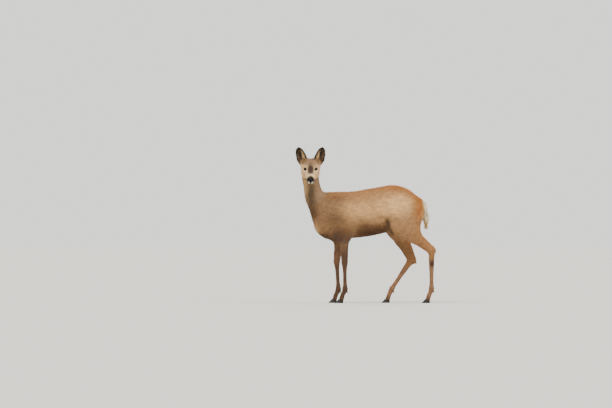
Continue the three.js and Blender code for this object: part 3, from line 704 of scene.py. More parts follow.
    def paint_head(self, canvas: Canvas) -> None:
        """Lays the mask of the face, with painted shade under the jaw; its places are millimetres in the
        head's frame.

        Args:
            canvas: The places to colour.
        """
        head = np.clip(canvas.crisp(Part.HEAD) * 1.4, 0, 1)
        q = HEAD.inside(canvas.points)
        q[:, 0] = np.abs(q[:, 0])
        x, y, z = q.T
        canvas.lay(self.neck, head * 0.95 * ramp(-24, -48, y - 0.3 * z))
        forehead = ramp(50, 4, y + 0.4 * x) * ramp(44, 26, x) * ramp(0, 16, z)
        canvas.lay(self.crown, head * 0.85 * forehead)
        temples = spot(q, (42, -30, 20), (10, 14, 14))
        canvas.lay(self.gold_and_shade, head * 0.8 * temples)
        canvas.lay(self.bridge, head * 0.4 * spot(q, (0, 0, 25), (14, 18, 40)))
        canvas.lay(self.bridge, head * ramp(0.05, 0.75, spot(q, (1, 44, 14), (13, 24, 40))))
        under_eyes = spot(q, (26, 26, -6), (8, 14, 10))
        canvas.lay(self.pale, head * 0.6 * under_eyes)
        jowls = spot(q, (38, 22, -28), (9, 15, 9))
        canvas.lay(self.gold_and_shade, head * 0.35 * jowls)
        # painted shadow under the jaw
        jaw_shadow = ramp(-45, -62, z) * ramp(76, 60, y) * ramp(-60, -20, y)
        canvas.lay(self.gold_and_shade, head * 0.8 * jaw_shadow)
        canvas.lay(self.pale, head * 0.85 * spot(q, (12, 80, 1), (13, 6, 6)))
        canvas.lay(self.pale, head * 0.9 * spot(q, (30, 70, -24), (5, 9, 12)))
        arch = np.hypot(x / 26.0, (z + 42.0) / 36.0)
        round_nose = ramp(1.10, 0.92, arch) * ramp(70, 78, y) * ramp(-56, -48, z)
        canvas.lay(self.black, head * 0.96 * round_nose)
        moustache = ramp(12, 16, x) * ramp(64, 72, y) * ramp(-32, -40, z) * ramp(-64, -56, z)
        canvas.lay(self.black, head * 0.9 * moustache)
        canvas.lay(self.white, head * 1.6 * spot(q, (9.5, 95, -43), (3.4, 16, 7)))
        chin = ramp(-52, -57, z) * ramp(66, 78, y) * ramp(13, 9, x)
        canvas.lay(self.cream, head * 0.6 * chin)
        # painted shade under the chin
        canvas.lay(self.gold_and_shade, head * 0.7 * ramp(-60, -66, z) * ramp(60, 72, y))
        lip_groove = spot(q * (1, 0, 1), (0, 0, -40), (2.4, 1, 7)) * ramp(90, 96, y)
        canvas.lay(self.black, head * 0.8 * lip_groove)
        canvas.lay(self.black, head * 0.9 * self.round_eye(canvas.points))

    def round_eye(self, points: np.ndarray) -> np.ndarray:
        """The dark rim of the lids and the eyes' front corners.

        Args:
            points: Places in the row's frame.

        Returns:
            How dark each place is, 0 to 1.
        """
        dark = np.zeros(len(points))
        for side in SIDES:
            local, away, near = Lids().around(points, side)
            corner = spot(local * (1, 1, 0), (14, -4, 0), (4, 2.2, 1))
            reach = 4.4 + 1.4 * ramp(0, 6, local[:, 1])
            dark = np.maximum(dark, np.maximum(ramp(reach, 1.6, away), 0.8 * corner) * near)
        return dark

    def paint_ears(self, canvas: Canvas) -> None:
        """Lays the inside, the wool and the dark rim of the ears.

        Args:
            canvas: The places to colour.
        """
        for side, axes in EARS.items():
            ear = canvas.crisp(Part[f"EAR_{side.upper()}"])
            across, up, front = axes.inside(canvas.points, canvas.normals)
            inner = ear * ramp(0.05, 0.4, front)
            leaf = np.stack((across, up), 1)
            canvas.lay(self.ear_inside, inner)
            canvas.lay(self.ear_back, inner * 0.4 * spot(leaf, (0.50, 0.40), (0.20, 0.20)))
            canvas.lay(self.wool, inner * 0.75 * spot(leaf, (-0.34, 0.42), (0.12, 0.17)))
            canvas.lay(self.wool, inner * 0.95 * spot(leaf, (-0.34, 0.27), (0.16, 0.07)))
            canvas.lay(self.black, inner * 0.85 * spot(leaf, (0.05, 0.54), (0.17, 0.09)))
            canvas.lay(self.gold_and_shade, ear * 0.7 * ramp(0.30, 0.12, up))
            rim = ramp(0.62, 0.84, np.abs(across)) * ramp(0.08, 0.26, up)
            canvas.lay(self.ear_rim, ear * 0.9 * np.maximum(rim, ramp(0.78, 0.92, up)))


# ---------------------------------------------------------------- finishes


class Shader:
    """A material under construction: its nodes, and short calls to join them."""

    def __init__(self, name: str) -> None:
        """Starts an empty material with a Principled shader.

        Args:
            name: The material's name.
        """
        self.material = bpy.data.materials.new(name)
        self.material.use_nodes = True
        self.tree = self.material.node_tree
        self.surface = self.tree.nodes["Principled BSDF"]

    def node(self, kind: str, **settings: object) -> bpy.types.Node:
        """Adds a node.

        Args:
            kind: The node's type.
            settings: Values of its properties.

        Returns:
            The node.
        """
        made = self.tree.nodes.new(kind)
        for key, value in settings.items():
            setattr(made, key, value)
        return made

    def link(self, source: bpy.types.NodeSocket, target: bpy.types.NodeSocket) -> None:
        """Joins two sockets."""
        self.tree.links.new(source, target)

    def place(self) -> bpy.types.NodeSocket:
        """The object coordinates."""
        return self.node("ShaderNodeTexCoord").outputs["Object"]

    def noise(self, scale: float, detail: float = 3.0, place: bpy.types.NodeSocket | None = None,
              ) -> bpy.types.NodeSocket:
        """Cloudy noise over the object coordinates.

        Args:
            scale: How fine it is.
            detail: How many finer layers it has.
            place: Where it is read, if not at the object coordinates.

        Returns:
            A value between 0 and 1.
        """
        made = self.node("ShaderNodeTexNoise")
        made.inputs["Scale"].default_value = scale
        made.inputs["Detail"].default_value = detail
        self.link(place or self.place(), made.inputs["Vector"])
        return made.outputs["Fac"]

    def between(self, value: bpy.types.NodeSocket, low: float, high: float) -> bpy.types.NodeSocket:
        """Stretches the middle of a noise value.

        Args:
            value: The noise value.
            low: Result where it is 0.3.
            high: Result where it is 0.7.

        Returns:
            The stretched value.
        """
        made = self.node("ShaderNodeMapRange")
        made.inputs["From Min"].default_value = 0.3
        made.inputs["From Max"].default_value = 0.7
        made.inputs["To Min"].default_value = low
        made.inputs["To Max"].default_value = high
        self.link(value, made.inputs["Value"])
        return made.outputs["Result"]

    def times(self, colour: bpy.types.NodeSocket, value: bpy.types.NodeSocket) -> bpy.types.NodeSocket:
        """Darkens or brightens a colour.

        Args:
            colour: The colour.
            value: What it is multiplied by.

        Returns:
            The product.
        """
        made = self.node("ShaderNodeVectorMath", operation="SCALE")
        self.link(colour, made.inputs[0])
        self.link(value, made.inputs["Scale"])
        return made.outputs["Vector"]

    def mix(self, amount: bpy.types.NodeSocket, first: object, second: object) -> bpy.types.NodeSocket:
        """Blends two colours.

        Args:
            amount: 0 for the first colour, 1 for the second.
            first: A socket or a fixed colour.
            second: A socket or a fixed colour.

        Returns:
            The blend.
        """
        made = self.node("ShaderNodeMix", data_type="RGBA")
        self.link(amount, made.inputs["Factor"])
        for key, colour in (("A", first), ("B", second)):
            socket = [s for s in made.inputs if s.name == key and s.type == "RGBA"][0]
            if isinstance(colour, bpy.types.NodeSocket):
                self.link(colour, socket)
            else:
                socket.default_value = (*colour, 1.0)
        return [s for s in made.outputs if s.type == "RGBA"][0]

    def bump(self, height: bpy.types.NodeSocket, distance: float, strength: float = 1.0) -> None:
        """Adds a bump to the surface.

        Args:
            height: The bump's height, 0 to 1.
            distance: Its height in metres where it is 1.
            strength: How strongly it turns the normals.
        """
        made = self.node("ShaderNodeBump")
        made.inputs["Strength"].default_value = strength
        made.inputs["Distance"].default_value = distance
        self.link(height, made.inputs["Height"])
        self.link(made.outputs["Normal"], self.surface.inputs["Normal"])

    def set(self, **values: float) -> None:
        """Sets sockets of the shader; an underscore stands for a space."""
        for key, value in values.items():
            self.surface.inputs[key.replace("_", " ")].default_value = value


@dataclass(frozen=True)
class FurFinish:
    """Dull hair: the marking's colour, broken by fine streaks."""

    name: str
    roughness: float = 0.8
    sheen: float = 0.03

    def make(self) -> bpy.types.Material:
        """Builds the material.

        Returns:
            The material.
        """
        shader = Shader(self.name)
        marking = shader.node("ShaderNodeAttribute", attribute_name="marking").outputs["Color"]
        fleck = shader.between(shader.noise(230.0, 2.0), 0.86, 1.12)
        shader.link(shader.times(marking, fleck), shader.surface.inputs["Base Color"])
        shader.link(
            shader.between(shader.noise(90.0), self.roughness - 0.08, self.roughness + 0.08),
            shader.surface.inputs["Roughness"],
        )
        shader.set(Specular_IOR_Level=0.16, Sheen_Weight=self.sheen, Sheen_Roughness=0.45)
        return shader.material


@dataclass(frozen=True)
class SkinFinish:
    """Short felted underfur, and black leather where the skin is bare."""

    name: str
    leather: tuple = (13, 11, 12)

    def make(self) -> bpy.types.Material:
        """Builds the material.

        Returns:
            The material.
        """
        shader = Shader(self.name)
        marking = shader.node("ShaderNodeAttribute", attribute_name="marking").outputs["Color"]
        bare = shader.node("ShaderNodeAttribute", attribute_name="bare").outputs["Fac"]
        fleck = shader.between(shader.noise(420.0, 4.0), 0.72, 1.1)
        hair = shader.times(marking, fleck)
        shader.link(
            shader.mix(bare, hair, tuple(tone(*self.leather))),
            shader.surface.inputs["Base Color"],
        )
        rough = shader.node("ShaderNodeMapRange")
        rough.inputs["To Min"].default_value = 0.85
        rough.inputs["To Max"].default_value = 0.45
        shader.link(bare, rough.inputs["Value"])
        shader.link(rough.outputs["Result"], shader.surface.inputs["Roughness"])
        shader.set(Specular_IOR_Level=0.14)
        cells = shader.node("ShaderNodeTexVoronoi")
        cells.inputs["Scale"].default_value = 900.0
        shader.link(shader.place(), cells.inputs["Vector"])
        shader.bump(cells.outputs["Distance"], 0.0004, 0.6)
        return shader.material


@dataclass(frozen=True)
class HornFinish:
    """Black-brown horn with growth rings and scuffed edges."""

    name: str
    dark: tuple = (15, 13, 12)
    worn: tuple = (42, 34, 29)

    def make(self) -> bpy.types.Material:
        """Builds the material.

        Returns:
            The material.
        """
        shader = Shader(self.name)
        worn = shader.between(shader.noise(160.0, 5.0), 0.0, 0.6)
        shader.link(
            shader.mix(worn, tuple(tone(*self.dark)), tuple(tone(*self.worn))),
            shader.surface.inputs["Base Color"],
        )
        rings = shader.node("ShaderNodeTexWave", bands_direction="Z")
        rings.inputs["Scale"].default_value = 95.0
        rings.inputs["Distortion"].default_value = 2.5
        shader.link(shader.place(), rings.inputs["Vector"])
        shader.link(shader.between(rings.outputs["Fac"], 0.36, 0.55), shader.surface.inputs["Roughness"])
        shader.bump(rings.outputs["Fac"], 0.0003, 0.4)
        shader.set(Specular_IOR_Level=0.2)
        return shader.material


@dataclass(frozen=True)
class EyeFinish:
    """A wet, dark brown eye with a wide pupil lying along the lids."""

    name: str
    centre: tuple
    turn: tuple
    iris: tuple = (34, 21, 13)
    rim: tuple = (14, 10, 8)
    pupil_mm: tuple = (7.2, 4.6)

    def make(self) -> bpy.types.Material:
        """Builds the material; its pattern lies in the eye's own frame.

        Returns:
            The material.
        """
        shader = Shader(self.name)
        mapping = shader.node("ShaderNodeMapping", vector_type="TEXTURE")
        mapping.inputs["Location"].default_value = self.centre
        mapping.inputs["Rotation"].default_value = self.turn
        shader.link(shader.place(), mapping.inputs["Vector"])
        squash = shader.node("ShaderNodeVectorMath", operation="MULTIPLY")
        long_mm, high_mm = self.pupil_mm
        squash.inputs[1].default_value = (1 / (long_mm * MM), 1 / (high_mm * MM), 0.0)
        shader.link(mapping.outputs["Vector"], squash.inputs[0])
        length = shader.node("ShaderNodeVectorMath", operation="LENGTH")
        shader.link(squash.outputs["Vector"], length.inputs[0])
        pupil = shader.node("ShaderNodeMapRange")
        pupil.inputs["From Min"].default_value = 0.9
        pupil.inputs["From Max"].default_value = 1.1
        shader.link(length.outputs["Value"], pupil.inputs["Value"])
        streak = shader.between(shader.noise(700.0, 4.0), 0.0, 0.7)
        iris = shader.mix(streak, tuple(tone(*self.iris)), tuple(tone(*self.rim)))
        shader.link(
            shader.mix(pupil.outputs["Result"], (0.002, 0.002, 0.003), iris),
            shader.surface.inputs["Base Color"],
        )
        shader.set(Roughness=0.10, Specular_IOR_Level=0.22)
        return shader.material


@dataclass(frozen=True)
class FloorFinish:
    """A pale, matt studio floor."""

    name: str
    shade: tuple = (206, 204, 200)

    def make(self) -> bpy.types.Material:
        """Builds the material.

        Returns:
            The material.
        """
        shader = Shader(self.name)
        pale = tuple(tone(*self.shade))
        near = tuple(channel * 0.97 for channel in pale)
        shader.link(
            shader.mix(shader.between(shader.noise(3.0), 0.0, 1.0), pale, near),
            shader.surface.inputs["Base Color"],
        )
        shader.set(Roughness=0.95, Specular_IOR_Level=0.0)
        return shader.material


# ---------------------------------------------------------------- skin


@dataclass
class Lids:
    """The opening between the lids, on the plane that touches the front of the eye.

    Attributes:
        eye_mm: Radius of the eye.
        half_width_mm: From the middle of the eye to a corner of the lids.
        above_mm: Height of the upper lid's edge over the line of the corners.
        below_mm: Drop of the lower lid's edge under it.
        outward: Way that the right eye looks, in the head's frame.
        forward: Way from the eye to the front corner of its lids, in the head's frame.
    """

    eye_mm: float = 12.5
    half_width_mm: float = 15.5
    above_mm: float = 9.0
    below_mm: float = 6.8
    rim_mm: float = 1.0
    lid_mm: float = 1.2
    outward: tuple = (0.48, 0.87, 0.10)
    forward: tuple = (-0.62, 0.74, -0.26)

    def axes(self, side: str) -> np.ndarray:
        """The lids' own axes, in the head's frame.

        Args:
            side: Which eye.

        Returns:
            Three rows: forward along the lids, up across them, and outward.
        """
        mirror = np.array((SIDES[side], 1.0, 1.0))
        out = unit(np.array(self.outward) * mirror)
        ahead = np.array(self.forward) * mirror
        ahead = unit(ahead - out * (ahead @ out))
        up = np.cross(out, ahead)
        if up[2] < 0.0:
            up = -up
        return np.stack((ahead, up, out))

    def around(self, points: np.ndarray, side: str) -> tuple[np.ndarray, np.ndarray, np.ndarray]:
        """How places lie about the opening of one eye.

        Args:
            points: Places in the row's frame.
            side: Which eye.

        Returns:
            The places along the lids' own axes, their distance to the edge of the opening,
            both in millimetres, and a share that is 1 near the eye and 0 elsewhere.
        """
        centre = HEAD.inside(HEAD.eye[side][None])[0]
        local = (HEAD.inside(points) - centre) @ self.axes(side).T
        scale = self.eye_mm / np.maximum(local[:, 2], 1e-3)
        away, _, _ = self.edge(local[:, 0] * scale, local[:, 1] * scale)
        near = ramp(3, 6, local[:, 2]) * ramp(23, 18, np.linalg.norm(local, axis=1))
        return local, away, near

    def edge(self, ahead: np.ndarray, up: np.ndarray) -> tuple[np.ndarray, np.ndarray, np.ndarray]:
        """Distance to the edge of the opening, under zero inside it, and its slope.

        Args:
            ahead: Places along the lids, in millimetres.
            up: Places across them.

        Returns:
            The distance, and the two parts of the unit vector that leads outwards.
        """
        width = self.half_width_mm
        radii = [(width**2 + drop**2) / (2 * drop) for drop in (self.above_mm, self.below_mm)]
        lower = up - (self.above_mm - radii[0])
        upper = up - (radii[1] - self.below_mm)
        first = np.hypot(ahead, lower)
        second = np.hypot(ahead, upper)
        over = first - radii[0] > second - radii[1]
        reach = np.where(over, first, second)
        away = np.where(over, first - radii[0], second - radii[1])
        return away, ahead / reach, np.where(over, lower, upper) / reach


@dataclass
class Skin:
    """The one skin under the coat, from the frame's pieces of flesh.

    Attributes:
        grow_mm: How far each piece is grown so that neighbours join.
        voxel_mm: Size of the cells in which they are joined.
        triangles: Number of triangles kept on the joined skin.
        thin_head: How readily the head and ears are thinned, where the body is 1.
        thin_legs: The same for the lower legs.
        legs_below: Height under which the legs count as lower legs.
        bulge_mm: How far the rounded outline stands out over the flat facets of the flesh.
        felt: Brightness of the skin where the coat is 1.
        lids: The opening between the lids.
    """

    grow_mm: float = 0.4
    voxel_mm: float = 2.4
    triangles: int = 132000
    thin_head: float = 0.35
    thin_legs: float = 0.55
    legs_below: float = 0.3
    bulge_mm: float = 1.2
    felt: float = 0.85
    lids: Lids = field(default_factory=Lids)

    def build(self) -> "Skin":
        """Joins, thins, smooths and models the skin.

        Returns:
            This skin, now with its object.
        """
        joined = self.joined()
        LOG.info("joined flesh: %d vertices", len(joined.data.vertices))
        self.object = self.thinned(joined)
        self.object.name = "skin"
        self.object.data.name = "skin"
        LOG.info("thinned skin: %d triangles", len(self.object.data.polygons))
        self.label()
        self.outline = BVHTree.FromPolygons(
            [tuple(point) for point in self.net.points],
            [tuple(triangle) for triangle in self.net.triangles.tolist()],
        )
        self.shape()
        self.finer()
        self.label()
        self.model_face()
        self.comb()
        self.store()
        return self

    def joined(self) -> bpy.types.Object:
        """Joins the pieces of flesh and the lids' domes.

        Returns:
            One object with one closed surface.
        """
        together = bmesh.new()
        for node in flesh_nodes():
            piece = bmesh.new()
            piece.from_mesh(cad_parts[node].data)
            bmesh.ops.remove_doubles(piece, verts=piece.verts, dist=1e-5)
            piece.normal_update()
            for vertex in piece.verts:
                vertex.co += vertex.normal * self.grow_mm * MM
            mesh = bpy.data.meshes.new(node)
            piece.to_mesh(mesh)
            piece.free()
            together.from_mesh(mesh)
            bpy.data.meshes.remove(mesh)
        for side in SIDES:
            place = Matrix.Translation(Vector(HEAD.eye[side]))
            radius = (self.lids.eye_mm + self.lids.lid_mm + 1.0) * MM
            bmesh.ops.create_icosphere(together, subdivisions=4, radius=radius, matrix=place)
        mesh = bpy.data.meshes.new("joined")
        together.to_mesh(mesh)
        together.free()
        thing = new_object("joined", mesh)
        cells = thing.modifiers.new("cells", "REMESH")
        cells.mode = "VOXEL"
        cells.voxel_size = self.voxel_mm * MM
        return settled(thing)

    def thinned(self, thing: bpy.types.Object) -> bpy.types.Object:
        """Thins the mesh, the body more than the head, the ears and the feet.

        Args:
            thing: The joined flesh.

        Returns:
            The same object, thinned.
        """
        work = bmesh.new()
        work.from_mesh(thing.data)
        bmesh.ops.triangulate(work, faces=work.faces)
        total = len(work.faces)
        layer = work.verts.layers.deform.verify()
        head_low, head_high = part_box("head")
        for vertex in work.verts:
            x, _, z = vertex.co
            in_head = z > head_low[2] - 0.01 and x < head_high[0] + 0.06
            weight = self.thin_head if in_head else self.thin_legs if z < self.legs_below else 1.0
            vertex[layer][0] = weight
        work.to_mesh(thing.data)
        work.free()
        thing.vertex_groups.new(name="thin")
        thin = thing.modifiers.new("thin", "DECIMATE")
        thin.ratio = self.triangles / total
        thin.vertex_group = "thin"
        thin.vertex_group_factor = 1.0
        return settled(thing)

    def label(self) -> None:
        """Finds each vertex's part of the body from the nearest piece of flesh."""
        self.net = Net.of(self.object.data)
        corners: list[tuple] = []
        faces: list[tuple] = []
        parts: list[int] = []
        for node, part in flesh_nodes().items():
            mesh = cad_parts[node].data
            start = len(corners)
            corners.extend(tuple(vertex.co) for vertex in mesh.vertices)
            for polygon in mesh.polygons:
                faces.append(tuple(start + index for index in polygon.vertices))
                parts.append(part.value)
        tree = BVHTree.FromPolygons(corners, faces)
        nearest = [tree.find_nearest(Vector(point))[2] for point in self.net.points]
        self.part = np.array(parts)[np.array(nearest)]
        exact = np.eye(len(Part))[self.part]
        self.share = self.net.spread(exact, 6)
        crisp = [part.value for part in (Part.HEAD, Part.EAR_LEFT, Part.EAR_RIGHT, Part.TAIL)]
        wide = exact.copy()
        wide[:, crisp] = 0.0
        wide = self.net.spread(wide + 1e-9, 45)
        kept = self.share[:, crisp].sum(1, keepdims=True)
        self.soft = wide / wide.sum(1, keepdims=True) * (1.0 - kept)
        self.soft[:, crisp] = self.share[:, crisp]

    def shape(self) -> None:
        """Smooths the facets away and draws the skin in by the depth of the coat."""
        big = {Part.TRUNK: 0.8, Part.NECK: 0.7, Part.FORE_UPPER: 0.6, Part.HIND_UPPER: 0.7,
               Part.FORE_SHANK: 0.3, Part.HIND_SHANK: 0.4, Part.TAIL: 0.4}
        wide = self.share @ np.array([big.get(part, 0.0) for part in Part])
        self.net.relax(np.full(len(self.net.points), 0.5), 6)
        self.net.relax(wide, 60)
        head = self.share[:, Part.HEAD.value]
        self.net.relax(head * 0.5, 10)
        depth = self.share @ np.array([LIES[part].depth_mm for part in Part]) * MM
        self.net.points -= self.net.normals() * (depth * (1.0 - wide))[:, None]
        for _ in range(2):
            lack = (depth - self.bulge_mm * MM * wide - self.depths()) * np.minimum(wide * 2, 1)
            lack = self.net.spread(np.clip(lack, -0.008, 0.008)[:, None], 16)
            self.net.points -= self.net.normals() * lack
        self.net.relax(np.full(len(self.net.points), 0.4), 2)
        self.write_points()

    def depths(self) -> np.ndarray:
        """How deep each vertex lies under the outline of the joined flesh.

        Returns:
            One depth for each vertex, in metres.
        """
        found = [self.outline.find_nearest(Vector(point))[:2] for point in self.net.points]
        nearest = np.array([tuple(place) for place, _ in found])
        normals = np.array([tuple(normal) for _, normal in found])
        return ((nearest - self.net.points) * normals).sum(1)

    def write_points(self) -> None:
        """Puts the net's points back into the mesh."""
        mesh = self.object.data
        mesh.vertices.foreach_set("co", self.net.points.astype(np.float32).ravel())
        mesh.update()

    def finer(self) -> None:
        """Divides the mesh where the face needs it: the eyes, the nose and the mouth."""
        places = [(np.array((side * 32.0, 9.0, 3.0)), 24.0) for side in (-1, 1)]
        places += [(np.array((0.0, 98.0, -30.0)), 34.0), (np.array((0.0, 70.0, -40.0)), 36.0)]
        work = bmesh.new()
        work.from_mesh(self.object.data)
        for shrink in (1.0, 0.72):
            points = np.array([vertex.co for vertex in work.verts])
            q = HEAD.inside(points)
            near = np.zeros(len(q), bool)
            for centre, radius in places[: 4 if shrink == 1.0 else 3]:
                near |= np.linalg.norm(q - centre, axis=1) < radius * shrink
            work.verts.ensure_lookup_table()
            edges = [e for e in work.edges if near[e.verts[0].index] and near[e.verts[1].index]]
            bmesh.ops.subdivide_edges(work, edges=edges, cuts=1, use_grid_fill=True, smooth=0.0)
            bmesh.ops.triangulate(work, faces=[f for f in work.faces if len(f.verts) > 3])
            work.verts.index_update()
        work.to_mesh(self.object.data)
        work.free()
        LOG.info("finer skin: %d triangles", len(self.object.data.polygons))

    def model_face(self) -> None:
        """Models the brows, hollows, lids, nose and mouth."""
        q = HEAD.inside(self.net.points)
        head = ramp(0.1, 0.6, self.share[:, Part.HEAD.value])
        near = np.flatnonzero((head > 0.01) & (np.abs(q[:, 0]) < 75))
        smooth_share = np.zeros(len(q))
        smooth_share[near] = head[near] * 0.5
        self.net.relax(smooth_share, 6)
        local = HEAD.inside(self.net.points[near])
        normals = self.net.normals()[near] @ HEAD.axes.T
        local = self.soft_forms(local, normals, head[near])
        self.bare = np.zeros(len(q))
        local, bare = self.nose_and_mouth(local)
        for side in SIDES:
            local, rim = self.eye_opening(local, side)
            bare = np.maximum(bare, rim)
        self.net.points[near] = HEAD.outside(local)
        self.bare[near] = bare
        self.write_points()

    def soft_forms(self, q: np.ndarray, normals: np.ndarray, head: np.ndarray) -> np.ndarray:
        """Raises and sinks the soft forms of the face, alike on both sides.

        Args:
            q: Places in the head's frame, in millimetres.
            normals: Outward normals there, in the head's frame.
            head: How far each place belongs to the head.

        Returns:
            The moved places.
        """
        forms = (
            # centre, radii, height in millimetres
            ((28, 2, 18), (9, 12, 7), 1.8),  # brow
            ((38, 4, -13), (7, 16, 4), 1.4),  # cheek bone
            ((22, 30, -2), (5, 9, 7), -2.0),  # hollow before the eye
            ((0, 30, 12), (6, 24, 10), 0.8),  # bridge of the nose
            ((0, -6, 36), (12, 14, 12), -0.9),  # dip between the brows
            ((25, 44, -26), (9, 16, 9), -1.6),  # hollow of the muzzle's side
            ((24, 84, -38), (8, 10, 6), 1.5),  # upper lip
            ((0, 84, -60), (12, 12, 6), 1.4),  # chin
            ((34, -18, -44), (12, 20, 12), 1.6),  # angle of the jaw
            ((14, 100, -18), (5, 6, 6), 1.4),  # wing of the nostril
        )
        mirrored = q.copy()
        mirrored[:, 0] = np.abs(mirrored[:, 0])
        rise = sum(height * spot(mirrored, centre, radii) for centre, radii, height in forms)
        return q + normals * (rise * head)[:, None]

    def nose_and_mouth(self, q: np.ndarray) -> tuple[np.ndarray, np.ndarray]:
        """Sinks the nostrils, the groove of the lip and the line of the mouth.

        Args:
            q: Places in the head's frame, in millimetres.

        Returns:
            The moved places, and how bare the skin is at each.
        """
        q = q.copy()
        x, y, z = np.abs(q[:, 0]), q[:, 1], q[:, 2]
        front = ramp(90, 99, y)
        hole = spot(np.stack((x, z), 1), (9.5, -21.5), (2.6, 3.2))
        comma = spot(np.stack((x, z), 1), (13.5, -17.0), (2.8, 1.7))
        sunk = front * (7.0 * np.clip(hole * 1.5 - 0.25, 0, 1) + 3.5 * np.clip(comma * 1.4 - 0.3, 0, 1))
        groove = front * 1.3 * np.exp(-0.5 * (x / 0.9) ** 2) * ramp(-44, -38, z) * ramp(-22, -28, z)
        line = -43.0 + 0.1 * (y - 92.0)
        gap = np.exp(-0.5 * ((z - line) / 1.0) ** 2)
        mouth = 2.6 * gap * ramp(50, 58, y)
        lip = 1.0 * np.exp(-0.5 * ((z - line + 4.0) / 2.2) ** 2) * ramp(52, 66, y)
        inward = np.stack((-np.sign(q[:, 0]) * ramp(4, 16, x), -ramp(60, 92, y), 0 * x), 1)
        inward = inward / np.maximum(np.linalg.norm(inward, axis=1, keepdims=True), 0.3)
        q[:, 1] -= sunk + groove
        q += inward * (mouth - lip)[:, None]
        pad = np.hypot(x / 17.5, (z + 22.0) / 13.5)
        leather = ramp(1.08, 0.92, pad) * ramp(90, 94, y)
        leather = np.maximum(leather, 0.9 * np.clip(gap * 1.3 - 0.2, 0, 1) * ramp(50, 60, y))
        return q, np.clip(leather, 0, 1)

    def eye_opening(self, q: np.ndarray, side: str) -> tuple[np.ndarray, np.ndarray]:
        """Opens the lids over one eye.

        Args:
            q: Places in the head's frame, in millimetres.
            side: Which eye.

        Returns:
            The moved places, and how bare the skin is at each.
        """
        q = q.copy()
        eye_mm = self.lids.eye_mm
        centre = HEAD.inside(HEAD.eye[side][None])[0]
        axes = self.lids.axes(side)
        local = (q - centre) @ axes.T
        radius = np.linalg.norm(local, axis=1)
        facing = local[:, 2] / np.maximum(radius, 1e-6)
        near = (facing > 0.35) & (radius < eye_mm + 14)
        picked = np.flatnonzero(near)
        part = local[picked]
        scale = eye_mm / np.maximum(part[:, 2], 1e-3)
        ahead, up = part[:, 0] * scale, part[:, 1] * scale
        away, slope_a, slope_u = self.lids.edge(ahead, up)
        snapped = np.abs(away) < 0.45
        ahead = np.where(snapped, ahead - away * slope_a, ahead)
        up = np.where(snapped, up - away * slope_u, up)
        aim = unit(np.stack((ahead, up, np.full(len(up), eye_mm)), 1))
        height = radius[picked]
        rim = eye_mm + 0.25 + self.lids.lid_mm * np.sqrt(np.clip(away / self.lids.rim_mm, 0, 1))
        close = ramp(7.0, 2.0, away)
        outer = height * (1 - close) + rim * close
        crease = 0.9 * np.exp(-0.5 * ((away - 4.2) / 1.0) ** 2) * ramp(-2.0, 2.0, up)
        outer = np.maximum(outer - crease, eye_mm + 0.3)
        inner = np.full(len(outer), eye_mm - 3.0)
        height = np.where(snapped, eye_mm + 0.15, np.where(away < 0, inner, outer))
        q[picked] = centre + (aim * height[:, None]) @ axes
        bare = np.zeros(len(q))
        bare[picked] = ramp(1.6, 0.9, away)
        return q, bare

    def comb(self) -> None:
        """Works out how the coat lies at each vertex."""
        self.ear_root = np.zeros(len(self.net.points))
        self.round_lids = np.zeros(len(self.net.points))
        self.comb_flow()
        table = np.array([
            (LIES[p].length_mm, LIES[p].width_mm, LIES[p].lift_deg, LIES[p].cover) for p in Part
        ])
        self.length, self.width, self.lift, self.cover = (self.share @ table).T
        self.comb_head()
        self.comb_body()
        self.length *= 1.0 - 0.45 * self.round_lids
        self.cover *= np.clip(1.0 - 1.6 * self.bare, 0.0, 1.0)

    def comb_flow(self) -> None:
        """Works out which way the tips of the hair point."""
        points, normals = self.net.points, self.net.normals()
        q = HEAD.inside(points)
        flow = self.share @ np.array([LIES[part].towards for part in Part])
        cheek = ramp(10, -30, q[:, 2]) * ramp(60, 10, q[:, 1])
        head, trunk = self.share[:, Part.HEAD.value], self.share[:, Part.TRUNK.value]
        flow += (head * cheek * 0.7)[:, None] * HEAD.direction((0, -0.4, -0.6))
        rump = trunk * ramp(0.25, 0.33, points[:, 0])
        flow += rump[:, None] * np.array((-0.9, 0.0, -1.2))
        breast = trunk * ramp(-0.20, -0.27, points[:, 0])
        flow += breast[:, None] * np.array((-0.7, 0.0, -0.9))
        for axes in EARS.values():
            across, up, _ = axes.inside(points, normals)
            thick = np.abs((points - axes.middle) @ axes.front)
            root = ramp(-0.30, -0.10, up) * ramp(0.30, 0.05, up) * ramp(1.4, 1.0, np.abs(across))
            root *= ramp(0.034, 0.022, thick)
            flow += (root * 1.6)[:, None] * axes.up
            self.ear_root = np.maximum(self.ear_root, root)
        for side in SIDES:
            local, away, near = self.lids.around(points, side)
            close = ramp(9, 3, away) * near
            apart = unit(local * (1, 1, 0)) @ self.lids.axes(side) @ HEAD.axes
            flow = flow * (1 - close)[:, None] + apart * close[:, None]
            self.round_lids = np.maximum(self.round_lids, ramp(8, 3, away) * near)
        flow -= normals * (flow * normals).sum(1)[:, None]
        flow = self.net.spread(flow, 14)
        flow -= normals * (flow * normals).sum(1)[:, None]
        self.flow = unit(flow)

